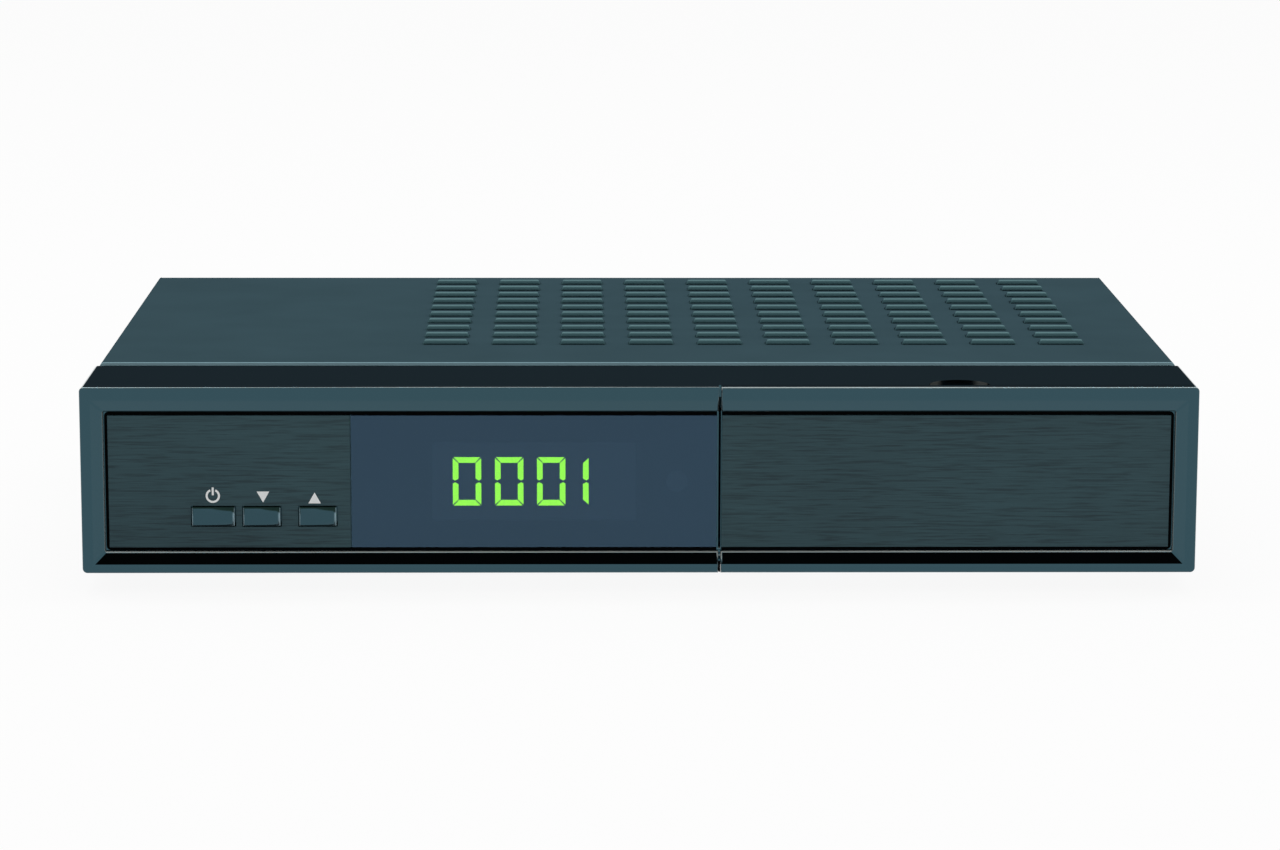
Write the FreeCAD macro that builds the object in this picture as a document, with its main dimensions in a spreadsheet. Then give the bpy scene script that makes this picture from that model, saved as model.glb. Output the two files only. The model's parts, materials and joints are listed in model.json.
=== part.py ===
import FreeCAD, Part
import math
import os
import Sketcher

# Satellite TV receiver: a steel case with a plastic front, a flap over the card bay and its boards inside.
# Lengths are in millimetres. +X is right, +Y is back and +Z is up.
# The origin is on the table, under the middle of the box round the whole object.

SIZES = {
    # Case
    "case_width": 280.0,
    "front_height": 47.4,
    "flange_depth": 32.6,
    "cover_depth": 153.0,
    "cover_inset": 1.5,
    "sheet_gauge": 0.8,
    "bend_radius": 1.2,
    "ground_gap": 5.0,
    "slide_fit": 0.1,
    # Louvres in the cover
    "louvre_length": 12.0,
    "louvre_depth": 5.0,
    "louvre_rise": 1.3,
    "louvre_taper": 0.7,
    "louvre_ridge": 1.6,
    "louvre_pitch": 18.1,
    "louvre_row_pitch": 12.1,
    "louvre_left": 82.0,
    "louvre_front": 29.0,
    "louvre_side_margin": 18.0,
    "louvre_back_margin": 10.0,
    # Front moulding
    "bezel_wall": 3.0,
    "bezel_corner": 1.2,
    "bezel_edge": 0.8,
    "rim_side": 2.4,
    "rim_base": 1.9,
    "rim_top": 3.2,
    "bevel_width": 3.3,
    "bevel_depth": 1.9,
    "panel_recess": 2.0,
    "panel_gauge": 1.0,
    "panel_gap": 1.0,
    "window_end_gap": 0.4,
    "fascia_wall": 2.0,
    "fascia_width": 60.8,
    "seam": 0.15,
    "tongue_length": 4.0,
    "tongue_gauge": 2.0,
    "tray_gap": 1.0,
    # Flap and its bay
    "door_width": 119.7,
    "split_gap": 0.6,
    "door_gauge": 4.0,
    "door_lip": 2.9,
    "door_gap": 0.4,
    "hinge_back": 5.2,
    "hinge_rise": 4.6,
    "knuckle_radius": 2.2,
    "hinge_pin_radius": 1.2,
    "pin_fit": 0.05,
    "arm_width": 3.0,
    "ear_width": 2.4,
    "pin_reach": 2.0,
    "cheek_gauge": 2.5,
    "bay_depth": 10.0,
    "bay_wall": 2.0,
    "scoop_radius": 7.7,
    "scoop_depth": 2.2,
    "bay_gap": 1.0,
    # Keys
    "key_height": 4.7,
    "power_key_width": 10.6,
    "channel_key_width": 9.2,
    "key_clearance": 0.3,
    "key_proud": 1.0,
    "key_lip": 0.9,
    "key_lip_gauge": 1.0,
    "key_bevel": 0.6,
    "key_row": 14.2,
    "power_key_place": 32.9,
    "down_key_place": 45.05,
    "up_key_place": 59.1,
    "key_travel": 0.5,
    "switch_width": 6.0,
    "switch_height": 5.0,
    "switch_depth": 3.5,
    "plunger_radius": 1.6,
    "plunger_reach": 1.2,
    "plunger_fit": 0.1,
    # Front board and what it carries
    "board_gauge": 1.6,
    "front_board_margin": 5.0,
    "front_board_end": 6.5,
    "boss_radius": 2.6,
    "boss_inset": 4.5,
    "display_width": 50.3,
    "display_height": 19.0,
    "display_row": 22.9,
    "display_gap": 0.3,
    "eye_width": 7.0,
    "eye_height": 8.0,
    "eye_depth": 5.0,
    "eye_radius": 2.5,
    "eye_place": 10.0,
    # Feet
    "foot_radius": 9.0,
    "foot_side": 24.0,
    "foot_front": 42.0,
    "foot_back": 22.0,
    # Screws
    "screw_radius": 1.45,
    "screw_head_radius": 2.75,
    "screw_head_height": 1.2,
    "screw_length": 5.0,
    "screw_fit": 0.1,
    "bore_radius": 1.2,
    "board_screw_head_radius": 2.4,
    "head_sink": 0.2,
    "cover_screw_inset": 30.0,
    "panel_screw_inset": 34.0,
    "side_screw_front": 28.0,
    "side_screw_back": 30.0,
    "side_screw_rise": 6.0,
    "bezel_screw_inset": 45.0,
    "bezel_screw_back": 8.0,
    # Vents in the floor
    "vent_width": 3.0,
    "vent_length": 20.0,
    "vent_pitch": 9.0,
    "vent_row_pitch": 28.0,
    "vent_inset": 15.0,
    # Boards on the floor
    "standoff_height": 5.0,
    "standoff_radius": 3.0,
    "standoff_inset": 5.0,
    "power_board_width": 60.0,
    "power_board_depth": 128.0,
    "board_margin": 3.5,
    "board_gap": 8.0,
    "panel_clearance": 1.2,
    "port_hole_gap": 0.3,
    "card_board_width": 98.0,
    "card_board_depth": 56.0,
    "reader_width": 58.0,
    "reader_depth": 52.0,
    "reader_height": 7.0,
    "card_width": 54.6,
    "card_slot": 2.2,
    "card_slot_depth": 46.8,
    "data_width": 14.4,
    "data_height": 7.0,
    "data_depth": 18.0,
    "data_shell": 0.8,
    "data_floor": 4.0,
    "data_tongue": 1.6,
    "tongue_setback": 1.0,
    "port_inset": 10.0,
    # Rear sockets
    "lip_height": 6.0,
    "port_reach": 10.4,
    "tuner_width": 36.0,
    "tuner_depth": 50.0,
    "tuner_height": 20.0,
    "lnb_radius": 4.76,
    "neck_relief": 0.2,
    "neck_reach": 0.3,
    "lnb_pitch": 17.0,
    "lnb_bore": 1.5,
    "nut_across": 6.4,
    "nut_gauge": 2.2,
    "video_width": 15.0,
    "video_height": 6.2,
    "video_depth": 12.0,
    "video_floor": 3.0,
    "video_tongue": 1.2,
    "video_tongue_width": 10.05,
    "network_width": 16.0,
    "network_height": 13.6,
    "network_depth": 21.0,
    "network_mouth_width": 12.0,
    "network_mouth_height": 8.2,
    "network_mouth_rise": 2.0,
    "network_floor": 6.0,
    "phono_block_width": 27.0,
    "phono_block_height": 27.0,
    "phono_block_depth": 12.0,
    "phono_radius": 4.15,
    "phono_reach": 8.4,
    "phono_bore": 1.7,
    "phono_pitch": 13.0,
    "phono_rise": 7.0,
    "scart_width": 49.0,
    "scart_height": 13.8,
    "scart_depth": 20.0,
    "scart_wall": 1.5,
    "scart_recess": 12.0,
    "scart_block_width": 40.0,
    "scart_block_height": 5.0,
    "scart_block_setback": 1.5,
    "socket_proud": 0.8,
    # Mains side of the rear panel
    "mains_row": 30.0,
    "inlet_place": 22.0,
    "inlet_width": 22.0,
    "inlet_height": 14.0,
    "inlet_depth": 15.0,
    "inlet_mouth_width": 14.8,
    "inlet_mouth_height": 8.8,
    "inlet_recess": 12.0,
    "inlet_pin_radius": 1.2,
    "inlet_pin_pitch": 8.6,
    "inlet_pin_length": 9.0,
    "rocker_place": 50.0,
    "rocker_frame_width": 13.0,
    "rocker_frame_height": 21.0,
    "rocker_body_depth": 12.0,
    "rocker_width": 8.4,
    "rocker_half_length": 7.2,
    "rocker_end": 3.2,
    "rocker_dip": 1.7,
    "rocker_gap": 0.4,
    "rocker_depth": 5.0,
    "rocker_tilt": 10.0,
    "rocker_pin_radius": 1.0,
    "rocker_pin_reach": 1.2,
    "rocker_heel": 3.0,
    "rocker_sweep": 0.8,
    "flange_lip": 1.5,
    "flange_gauge": 1.6,
    # Parts on the boards
    "chip_width": 27.0,
    "chip_height": 2.2,
    "sink_width": 38.0,
    "sink_base": 2.5,
    "fin_height": 9.0,
    "fin_gauge": 1.2,
    "fin_pitch": 4.4,
    "memory_width": 9.0,
    "memory_length": 13.0,
    "memory_height": 1.1,
    "can_radius": 4.0,
    "can_height": 11.5,
    "can_pitch": 11.0,
    "bulk_radius": 9.0,
    "bulk_height": 25.0,
    "core_width": 26.0,
    "core_depth": 22.0,
    "core_height": 20.0,
    "core_limb": 6.0,
    "winding_gap": 0.3,
    "choke_width": 16.0,
    "choke_height": 15.0,
    "fuse_radius": 2.6,
    "fuse_length": 20.0,
    "power_sink_length": 34.0,
    "power_sink_height": 22.0,
    "power_sink_gauge": 2.0,
    "insulator_gauge": 0.4,
    "chip_place": 24.0,
    "chip_front": 30.0,
    "part_gap": 4.0,
    "memory_gap": 8.0,
    "can_gap": 10.0,
    "power_column": 18.0,
    "fuse_place": 16.0,
    "fuse_back": 28.0,
    "choke_back": 26.0,
    "bulk_gap": 3.0,
    "sink_gap": 6.0,
    # Leads between the boards
    "header_width": 10.0,
    "header_depth": 5.0,
    "header_height": 6.0,
    "lead_radius": 1.2,
    "lead_bend": 7.5,
    "lead_rise": 10.0,
    "lead_row": 12.0,
    "lead_inset": 8.0,
    "mains_lead_run": 2.5,
    "front_lead_place": 34.0,
    "front_lead_rise": 6.0,
}

document = FreeCAD.newDocument("SatelliteReceiver")
sheet = document.addObject("Spreadsheet::Sheet", "Sizes")
for row, (alias, length) in enumerate(SIZES.items(), start=1):
    sheet.set(f"A{row}", alias)
    sheet.set(f"B{row}", str(length))
    sheet.setAlias(f"B{row}", alias)
document.recompute()


class Size:
    """A length that carries both its value and the sheet formula that gives it."""

    def __init__(self, formula, value):
        self.formula = formula
        self.value = value

    def __add__(self, other):
        other = as_size(other)
        return Size(f"({self.formula} + {other.formula})", self.value + other.value)

    def __sub__(self, other):
        other = as_size(other)
        return Size(f"({self.formula} - {other.formula})", self.value - other.value)

    def __mul__(self, factor):
        return Size(f"({self.formula} * {factor})", self.value * factor)

    def __truediv__(self, divisor):
        return Size(f"({self.formula} / {divisor})", self.value / divisor)

    def __neg__(self):
        return Size(f"(0 - {self.formula})", -self.value)

    def __float__(self):
        return self.value


def as_size(length):
    """Wrap a plain number, so that it can stand in a formula."""
    if isinstance(length, Size):
        return length
    return Size(repr(float(length)), float(length))


class Sheet:
    """Gives each cell of the sheet as a Size, by its alias."""

    def __getattr__(self, alias):
        return Size(f"Sizes.{alias}", float(getattr(sheet, alias)))


s = Sheet()
PARTS = []
MEMORY_CHIPS = 2
MAIN_CANS = 4
OUTPUT_CANS = 3

# Places that several sub-parts share
half = s.case_width / 2
front = -(s.flange_depth + s.cover_depth + s.port_reach) / 2
cover_front = front + s.flange_depth
back = cover_front + s.cover_depth
base = s.ground_gap
top = base + s.front_height
floor_low = base + s.bezel_wall
floor_top = floor_low + s.sheet_gauge
cover_half = half - s.cover_inset
chassis_half = cover_half - s.sheet_gauge - s.slide_fit
panel_outer = back - s.sheet_gauge
panel_inner = panel_outer - s.sheet_gauge
door_left = half - s.door_width
bezel_end = door_left - s.split_gap
frame_side = s.rim_side + s.bevel_width
frame_base = s.rim_base + s.bevel_width
frame_top = s.rim_top + s.bevel_width
inlay_low = base + frame_base + s.panel_gap
inlay_high = top - frame_top - s.panel_gap
inlay_face = front + s.panel_recess
inlay_back = inlay_face + s.panel_gauge
wall_back = inlay_back + s.fascia_wall
bay_back = front + s.door_gauge + s.bay_depth
bay_rear = bay_back + s.bay_wall
hinge_y = front + s.hinge_back
hinge_z = base + s.hinge_rise
inlay_left = -half + frame_side + s.panel_gap
window_left = inlay_left + s.fascia_width
window_right = bezel_end - s.window_end_gap
board_top = floor_top + s.standoff_height + s.board_gauge
key_face = inlay_face - s.key_proud
key_back = wall_back + s.key_clearance + s.key_lip_gauge
switch_face = key_back + s.plunger_reach
front_board_face = switch_face + s.switch_depth
front_board_back = front_board_face + s.board_gauge


def bind(item, name, length):
    """Tie one property of an object to the sheet."""
    item.setExpression(name, as_size(length).formula)


def keep(item, label):
    """Name a finished sub-part and put it on the list that is written out."""
    item.Label = label
    PARTS.append(item)
    return item


def box(name, x, y, z):
    """A block between two limits on each axis."""
    item = document.addObject("Part::Box", name)
    for side, axis, limits in (("Length", "x", x), ("Width", "y", y), ("Height", "z", z)):
        bind(item, side, as_size(limits[1]) - limits[0])
        bind(item, f"Placement.Base.{axis}", limits[0])
    return item


AXES = {
    "X": FreeCAD.Rotation(FreeCAD.Vector(0, 1, 0), 90),
    "Y": FreeCAD.Rotation(FreeCAD.Vector(1, 0, 0), -90),
    "Z": FreeCAD.Rotation(),
}


def place(item, axis, start):
    """Stand an object along an axis, with its foot at the start point."""
    item.Placement = FreeCAD.Placement(FreeCAD.Vector(), AXES[axis])
    for letter, length in zip("xyz", start):
        bind(item, f"Placement.Base.{letter}", length)
    return item


def rod(name, axis, start, radius, length):
    """A cylinder along an axis."""
    item = document.addObject("Part::Cylinder", name)
    bind(item, "Radius", radius)
    bind(item, "Height", length)
    return place(item, axis, start)


def prism(name, axis, start, radius, length):
    """A hexagonal bar along an axis."""
    item = document.addObject("Part::Prism", name)
    item.Polygon = 6
    bind(item, "Circumradius", radius)
    bind(item, "Height", length)
    return place(item, axis, start)


def fuse(name, *items):
    """Join several objects in one."""
    item = document.addObject("Part::MultiFuse", name)
    item.Shapes = list(items)
    item.Refine = True
    return item


def group(name, *items):
    """Keep several separate solids in one object."""
    item = document.addObject("Part::Compound", name)
    item.Links = list(items)
    return item


def cut(name, solid, *tools):
    """Take one or more objects out of a solid."""
    item = document.addObject("Part::Cut", name)
    item.Base = solid
    item.Tool = tools[0] if len(tools) == 1 else fuse(name + "_tools", *tools)
    item.Refine = True
    return item


PLANES = {"XY": ("XY_Plane", 1), "XZ": ("XZ_Plane", -1), "YZ": ("YZ_Plane", 1)}


def new_body(label):
    """A part made of sketches and features."""
    return document.addObject("PartDesign::Body", label)


def rect(low_a, high_a, low_b, high_b):
    """The four corners of a rectangle in a sketch."""
    return [(low_a, low_b), (high_a, low_b), (high_a, high_b), (low_a, high_b)]


def draw_outline(item, corners):
    """Draw a closed outline with each corner tied to the sheet."""
    first = item.GeometryCount
    count = len(corners)
    places = [FreeCAD.Vector(float(a), float(b), 0) for a, b in corners]
    for index in range(count):
        item.addGeometry(Part.LineSegment(places[index], places[(index + 1) % count]), False)
    for index in range(count):
        after = first + (index + 1) % count
        item.addConstraint(Sketcher.Constraint("Coincident", first + index, 2, after, 1))
    for index, corner in enumerate(corners):
        dimension(item, first + index, 1, corner)


def draw_circle(item, centre, radius):
    """Draw a circle with its centre and radius tied to the sheet."""
    index = item.GeometryCount
    middle = FreeCAD.Vector(float(centre[0]), float(centre[1]), 0)
    item.addGeometry(Part.Circle(middle, FreeCAD.Vector(0, 0, 1), float(radius)), False)
    dimension(item, index, 3, centre)
    number = item.addConstraint(Sketcher.Constraint("Radius", index, float(radius)))
    bind(item, f"Constraints[{number}]", radius)


def dimension(item, geometry, point, corner):
    """Give one point of a sketch its distances from the sketch's origin."""
    for kind, length in zip(("DistanceX", "DistanceY"), corner):
        number = item.addConstraint(Sketcher.Constraint(kind, -1, 1, geometry, point, float(length)))
        bind(item, f"Constraints[{number}]", length)


def sketch(body, plane, level, outlines):
    """A sketch on one of the body's own planes, at a level along that plane's axis."""
    role, sign = PLANES[plane]
    item = body.newObject("Sketcher::SketchObject", f"{body.Name}_sketch")
    support = [feature for feature in body.Origin.OriginFeatures if feature.Role == role]
    item.AttachmentSupport = [(support[0], "")]
    item.MapMode = "FlatFace"
    bind(item, "AttachmentOffset.Base.z", as_size(level) * sign)
    for outline in outlines:
        if isinstance(outline, tuple):
            draw_circle(item, outline[0], outline[1])
        else:
            draw_outline(item, outline)
    return item


def pad(body, plane, limits, *outlines):
    """Add material between two levels of a plane's axis."""
    item = body.newObject("PartDesign::Pad", f"{body.Name}_pad")
    item.Profile = sketch(body, plane, limits[0], outlines)
    item.Reversed = plane == "XZ"
    bind(item, "Length", as_size(limits[1]) - limits[0])
    return item


def pocket(body, plane, limits, *outlines):
    """Take material away between two levels of a plane's axis."""
    item = body.newObject("PartDesign::Pocket", f"{body.Name}_pocket")
    item.Profile = sketch(body, plane, limits[0], outlines)
    item.Reversed = plane != "XZ"
    bind(item, "Length", as_size(limits[1]) - limits[0])
    return item


def loft(body, kind, plane, first, second):
    """Join two outlines at two levels with straight sides."""
    item = body.newObject(f"PartDesign::{kind}Loft", f"{body.Name}_loft")
    item.Profile = sketch(body, plane, first[0], [first[1]])
    item.Sections = [sketch(body, plane, second[0], [second[1]])]
    item.Ruled = True
    return item


def round_edges(body, radius, wanted):
    """Round the edges of the body's present shape that the test picks."""
    document.recompute()
    tip = body.Tip
    names = [f"Edge{index}" for index, edge in enumerate(tip.Shape.Edges, start=1) if wanted(edge)]
    item = body.newObject("PartDesign::Fillet", f"{body.Name}_fillet")
    item.Base = (tip, names)
    bind(item, "Radius", radius)
    return item


def bevel_edges(body, size, wanted):
    """Bevel the edges of the body's present shape that the test picks."""
    document.recompute()
    tip = body.Tip
    names = [f"Edge{index}" for index, edge in enumerate(tip.Shape.Edges, start=1) if wanted(edge)]
    item = body.newObject("PartDesign::Chamfer", f"{body.Name}_chamfer")
    item.Base = (tip, names)
    bind(item, "Size", size)
    return item


def pattern(body, feature, axis, count, pitch):
    """Repeat a feature in a row along the X or Y axis."""
    item = body.newObject("PartDesign::LinearPattern", f"{body.Name}_row")
    item.Originals = [feature]
    line = [entry for entry in body.Origin.OriginFeatures if entry.Role == f"{axis}_Axis"]
    item.Direction = (line[0], [""])
    item.Occurrences = count
    bind(item, "Length", as_size(pitch) * (count - 1))
    body.Tip = item
    return item


def near(value, target):
    """True where a place lies on the given level."""
    return abs(value - float(target)) < 0.01


def along(edge, axis):
    """True for an edge that runs along one axis."""
    box_round = edge.BoundBox
    spans = {"x": box_round.XLength, "y": box_round.YLength, "z": box_round.ZLength}
    return all(span < 0.001 for name, span in spans.items() if name != axis) and spans[axis] > 0.01


def screw(name, axis, seat, inward):
    """A pan head on its seat and a shank that goes inward along the axis, +1 or -1."""
    letter = "XYZ".index(axis)
    start_head = list(seat)
    start_shank = list(seat)
    if inward > 0:
        start_head[letter] = seat[letter] - s.screw_head_height
    else:
        start_shank[letter] = seat[letter] - s.screw_length
    head = rod(name + "_head", axis, start_head, s.screw_head_radius, s.screw_head_height)
    shank = rod(name + "_shank", axis, start_shank, s.screw_radius, s.screw_length)
    return fuse(name, head, shank)


hole_radius = s.screw_radius + s.screw_fit


def copies_that_fit(space, pitch):
    """How many copies stand in a space at a pitch."""
    return int(float(space) / float(pitch) + 1e-6) + 1


def grid(body, features, columns, rows):
    """Repeat features in columns along X and rows along Y."""
    steps = []
    for axis, (count, pitch) in (("X", columns), ("Y", rows)):
        step = body.newObject("PartDesign::LinearPattern", f"{body.Name}_step")
        line = [entry for entry in body.Origin.OriginFeatures if entry.Role == f"{axis}_Axis"]
        step.Direction = (line[0], [""])
        step.Occurrences = count
        bind(step, "Length", as_size(pitch) * (count - 1))
        steps.append(step)
    item = body.newObject("PartDesign::MultiTransform", f"{body.Name}_grid")
    item.Originals = features
    item.Transformations = steps
    body.Tip = item
    return item


# Screw places
cover_screw_places = [-half + s.cover_screw_inset, as_size(0.0), half - s.cover_screw_inset]
panel_screw_places = [-half + s.panel_screw_inset, as_size(0.0), half - s.panel_screw_inset]
side_screw_places = [cover_front + s.side_screw_front, back - s.side_screw_back]
side_screw_height = floor_top + s.side_screw_rise
bezel_screw_places = [-half + s.bezel_screw_inset, as_size(0.0), half - s.bezel_screw_inset]
bezel_screw_depth = cover_front - s.bezel_screw_back
lower_screw_height = (floor_top + floor_low + s.lip_height) / 2
upper_screw_height = top - s.lip_height / 2
foot_places = [
    (-half + s.foot_side, front + s.foot_front),
    (half - s.foot_side, front + s.foot_front),
    (-half + s.foot_side, back - s.foot_back),
    (half - s.foot_side, back - s.foot_back),
]

# Boards on the floor
power_left = -chassis_half + s.sheet_gauge + s.board_margin
power_right = power_left + s.power_board_width
power_back = panel_inner - s.panel_clearance
power_front = power_back - s.power_board_depth
main_left = power_right + s.board_gap
main_right = chassis_half - s.sheet_gauge - s.board_margin
main_back = power_back
bay_centre = (door_left + half) / 2
card_left = bay_centre - s.card_board_width / 2
card_right = bay_centre + s.card_board_width / 2
card_front = bay_rear + s.bay_gap
card_back = card_front + s.card_board_depth
main_front = card_back + s.board_gap
board_low = board_top - s.board_gauge

# Rear sockets stand in a row on the main board with equal spaces between them
port_widths = [s.scart_width, s.phono_block_width, s.network_width, s.video_width, s.tuner_width]
port_total = port_widths[0]
for width in port_widths[1:]:
    port_total = port_total + width
port_space = (main_right - main_left - port_total) / (len(port_widths) + 1)
port_centres = []
port_edge = main_left
for width in port_widths:
    port_centres.append(port_edge + port_space + width / 2)
    port_edge = port_edge + port_space + width
scart_x, phono_x, network_x, video_x, tuner_x = port_centres
lnb_places = [tuner_x - s.lnb_pitch / 2, tuner_x + s.lnb_pitch / 2]
lnb_z = board_top + s.tuner_height / 2
phono_places = [
    (phono_x - s.phono_pitch / 2, board_top + s.phono_rise),
    (phono_x + s.phono_pitch / 2, board_top + s.phono_rise),
    (phono_x + s.phono_pitch / 2, board_top + s.phono_pitch + s.phono_rise),
]
mains_z = (floor_low + top) / 2
inlet_x = -half + s.inlet_place
rocker_x = -half + s.rocker_place
socket_face = panel_outer + s.socket_proud

# Front keys
key_z = base + s.key_row
KEYS = {
    "power": (-half + s.power_key_place, s.power_key_width),
    "channel_down": (-half + s.down_key_place, s.channel_key_width),
    "channel_up": (-half + s.up_key_place, s.channel_key_width),
}
display_x = (window_left + window_right) / 2
display_z = base + s.display_row
eye_x = window_right - s.eye_place
front_board_left = -half + s.bezel_wall + s.front_board_end
front_board_right = bezel_end - s.cheek_gauge - s.front_board_margin
front_board_low = base + s.bezel_wall + s.front_board_margin
front_board_high = top - s.bezel_wall - s.front_board_margin
boss_places = [
    (x, z)
    for x in (front_board_left + s.boss_inset, front_board_right - s.boss_inset)
    for z in (front_board_low + s.boss_inset, front_board_high - s.boss_inset)
]


def key_outline(name, margin):
    """The outline of one key in the front, with a margin round it."""
    centre, width = KEYS[name]
    across = width / 2 + margin
    tall = s.key_height / 2 + margin
    return rect(centre - across, centre + across, key_z - tall, key_z + tall)


def make_cover():
    """Folded steel cover with raised louvres that face the front."""
    cover = new_body("cover_sheet")
    plate_top = top + s.sheet_gauge
    inside = cover_half - s.sheet_gauge
    profile = [
        (-cover_half, floor_low),
        (-cover_half, plate_top),
        (cover_half, plate_top),
        (cover_half, floor_low),
        (inside, floor_low),
        (inside, top),
        (-inside, top),
        (-inside, floor_low),
    ]
    pad(cover, "XZ", (cover_front + s.slide_fit, back), profile)
    lip_half = inside - s.bend_radius
    pad(cover, "XZ", (panel_outer, back), rect(-lip_half, lip_half, top - s.lip_height, top))
    for x in cover_screw_places:
        pocket(cover, "XZ", (panel_outer, back), ((x, upper_screw_height), hole_radius))
    for y in side_screw_places:
        pocket(cover, "YZ", (-cover_half, -inside), ((y, side_screw_height), hole_radius))
        pocket(cover, "YZ", (inside, cover_half), ((y, side_screw_height), hole_radius))
    round_edges(cover, s.bend_radius, lambda edge: along(edge, "y") and near(edge.BoundBox.ZMax, plate_top)
                and near(abs(edge.BoundBox.XMax), cover_half))
    hoods = louvre_field("louvre_hoods", plate_top)
    slits = louvre_field("louvre_slits", top)
    keep(cut("louvred_cover", fuse("cover_with_hoods", cover, hoods), slits), "top_cover")


def louvre_field(name, level):
    """Wedges in rows and columns that stand on a level: the outsides of the louvres, or their insides."""
    left = float(-cover_half + s.louvre_left)
    start = float(cover_front + s.louvre_front)
    taper = float(s.louvre_taper)
    right = left + float(s.louvre_length)
    end = start + float(s.louvre_depth)
    foot = [(left, start), (right, start), (right, end), (left, end)]
    crest = start + float(s.louvre_ridge)
    ridge = [(left + taper, start), (right - taper, start), (right - taper, crest), (left + taper, crest)]
    wires = []
    for corners, height in ((foot, float(level)), (ridge, float(level + s.louvre_rise))):
        points = [FreeCAD.Vector(x, y, height) for x, y in corners]
        wires.append(Part.makePolygon(points + points[:1]))
    wedge = Part.makeLoft(wires, True, True)
    width_left = cover_half * 2 - s.louvre_left - s.louvre_side_margin - s.louvre_length
    depth_left = s.cover_depth - s.louvre_front - s.louvre_back_margin - s.louvre_depth
    copies = []
    for column in range(copies_that_fit(width_left, s.louvre_pitch)):
        for row in range(copies_that_fit(depth_left, s.louvre_row_pitch)):
            step = FreeCAD.Vector(column * float(s.louvre_pitch), row * float(s.louvre_row_pitch), 0)
            copies.append(wedge.translated(step))
    item = document.addObject("Part::Feature", name)
    item.Shape = Part.makeCompound(copies)
    return item


def make_chassis():
    """Steel tray: a floor that lies on the bezel's bottom wall, side flanges and a rear lip."""
    chassis = new_body("bottom_chassis")
    nose_half = half - s.bezel_wall - s.slide_fit
    nose_front = bay_rear + s.slide_fit
    shoulder = cover_front + s.slide_fit
    floor = [
        (-nose_half, nose_front),
        (nose_half, nose_front),
        (nose_half, shoulder),
        (chassis_half, shoulder),
        (chassis_half, back),
        (-chassis_half, back),
        (-chassis_half, shoulder),
        (-nose_half, shoulder),
    ]
    pad(chassis, "XY", (floor_low, floor_top), floor)
    flange_front = cover_front + s.tongue_length + s.tray_gap
    flange_top = side_screw_height + s.side_screw_rise
    inside = chassis_half - s.sheet_gauge
    pad(chassis, "XY", (floor_top, flange_top), rect(-chassis_half, -inside, flange_front, panel_inner))
    pad(chassis, "XY", (floor_top, flange_top), rect(inside, chassis_half, flange_front, panel_inner))
    lip_half = inside - s.bend_radius
    pad(chassis, "XZ", (panel_outer, back), rect(-lip_half, lip_half, floor_top, floor_low + s.lip_height))
    for x in panel_screw_places:
        pocket(chassis, "XZ", (panel_outer, back), ((x, lower_screw_height), hole_radius))
    for y in side_screw_places:
        pocket(chassis, "YZ", (-chassis_half, -inside), ((y, side_screw_height), hole_radius))
        pocket(chassis, "YZ", (inside, chassis_half), ((y, side_screw_height), hole_radius))
    for x in bezel_screw_places:
        pocket(chassis, "XY", (floor_low, floor_top), ((x, bezel_screw_depth), hole_radius))
    slot_front = main_front + s.vent_inset
    slot_left = main_left + s.vent_inset
    slot = pocket(chassis, "XY", (floor_low, floor_top),
                  rect(slot_left, slot_left + s.vent_width, slot_front, slot_front + s.vent_length))
    columns = copies_that_fit(main_right - slot_left - s.vent_inset, s.vent_pitch)
    rows = copies_that_fit(main_back - slot_front - s.vent_length - s.scart_depth, s.vent_row_pitch)
    grid(chassis, [slot], (columns, s.vent_pitch), (rows, s.vent_row_pitch))
    keep(chassis, "bottom_chassis")


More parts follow.
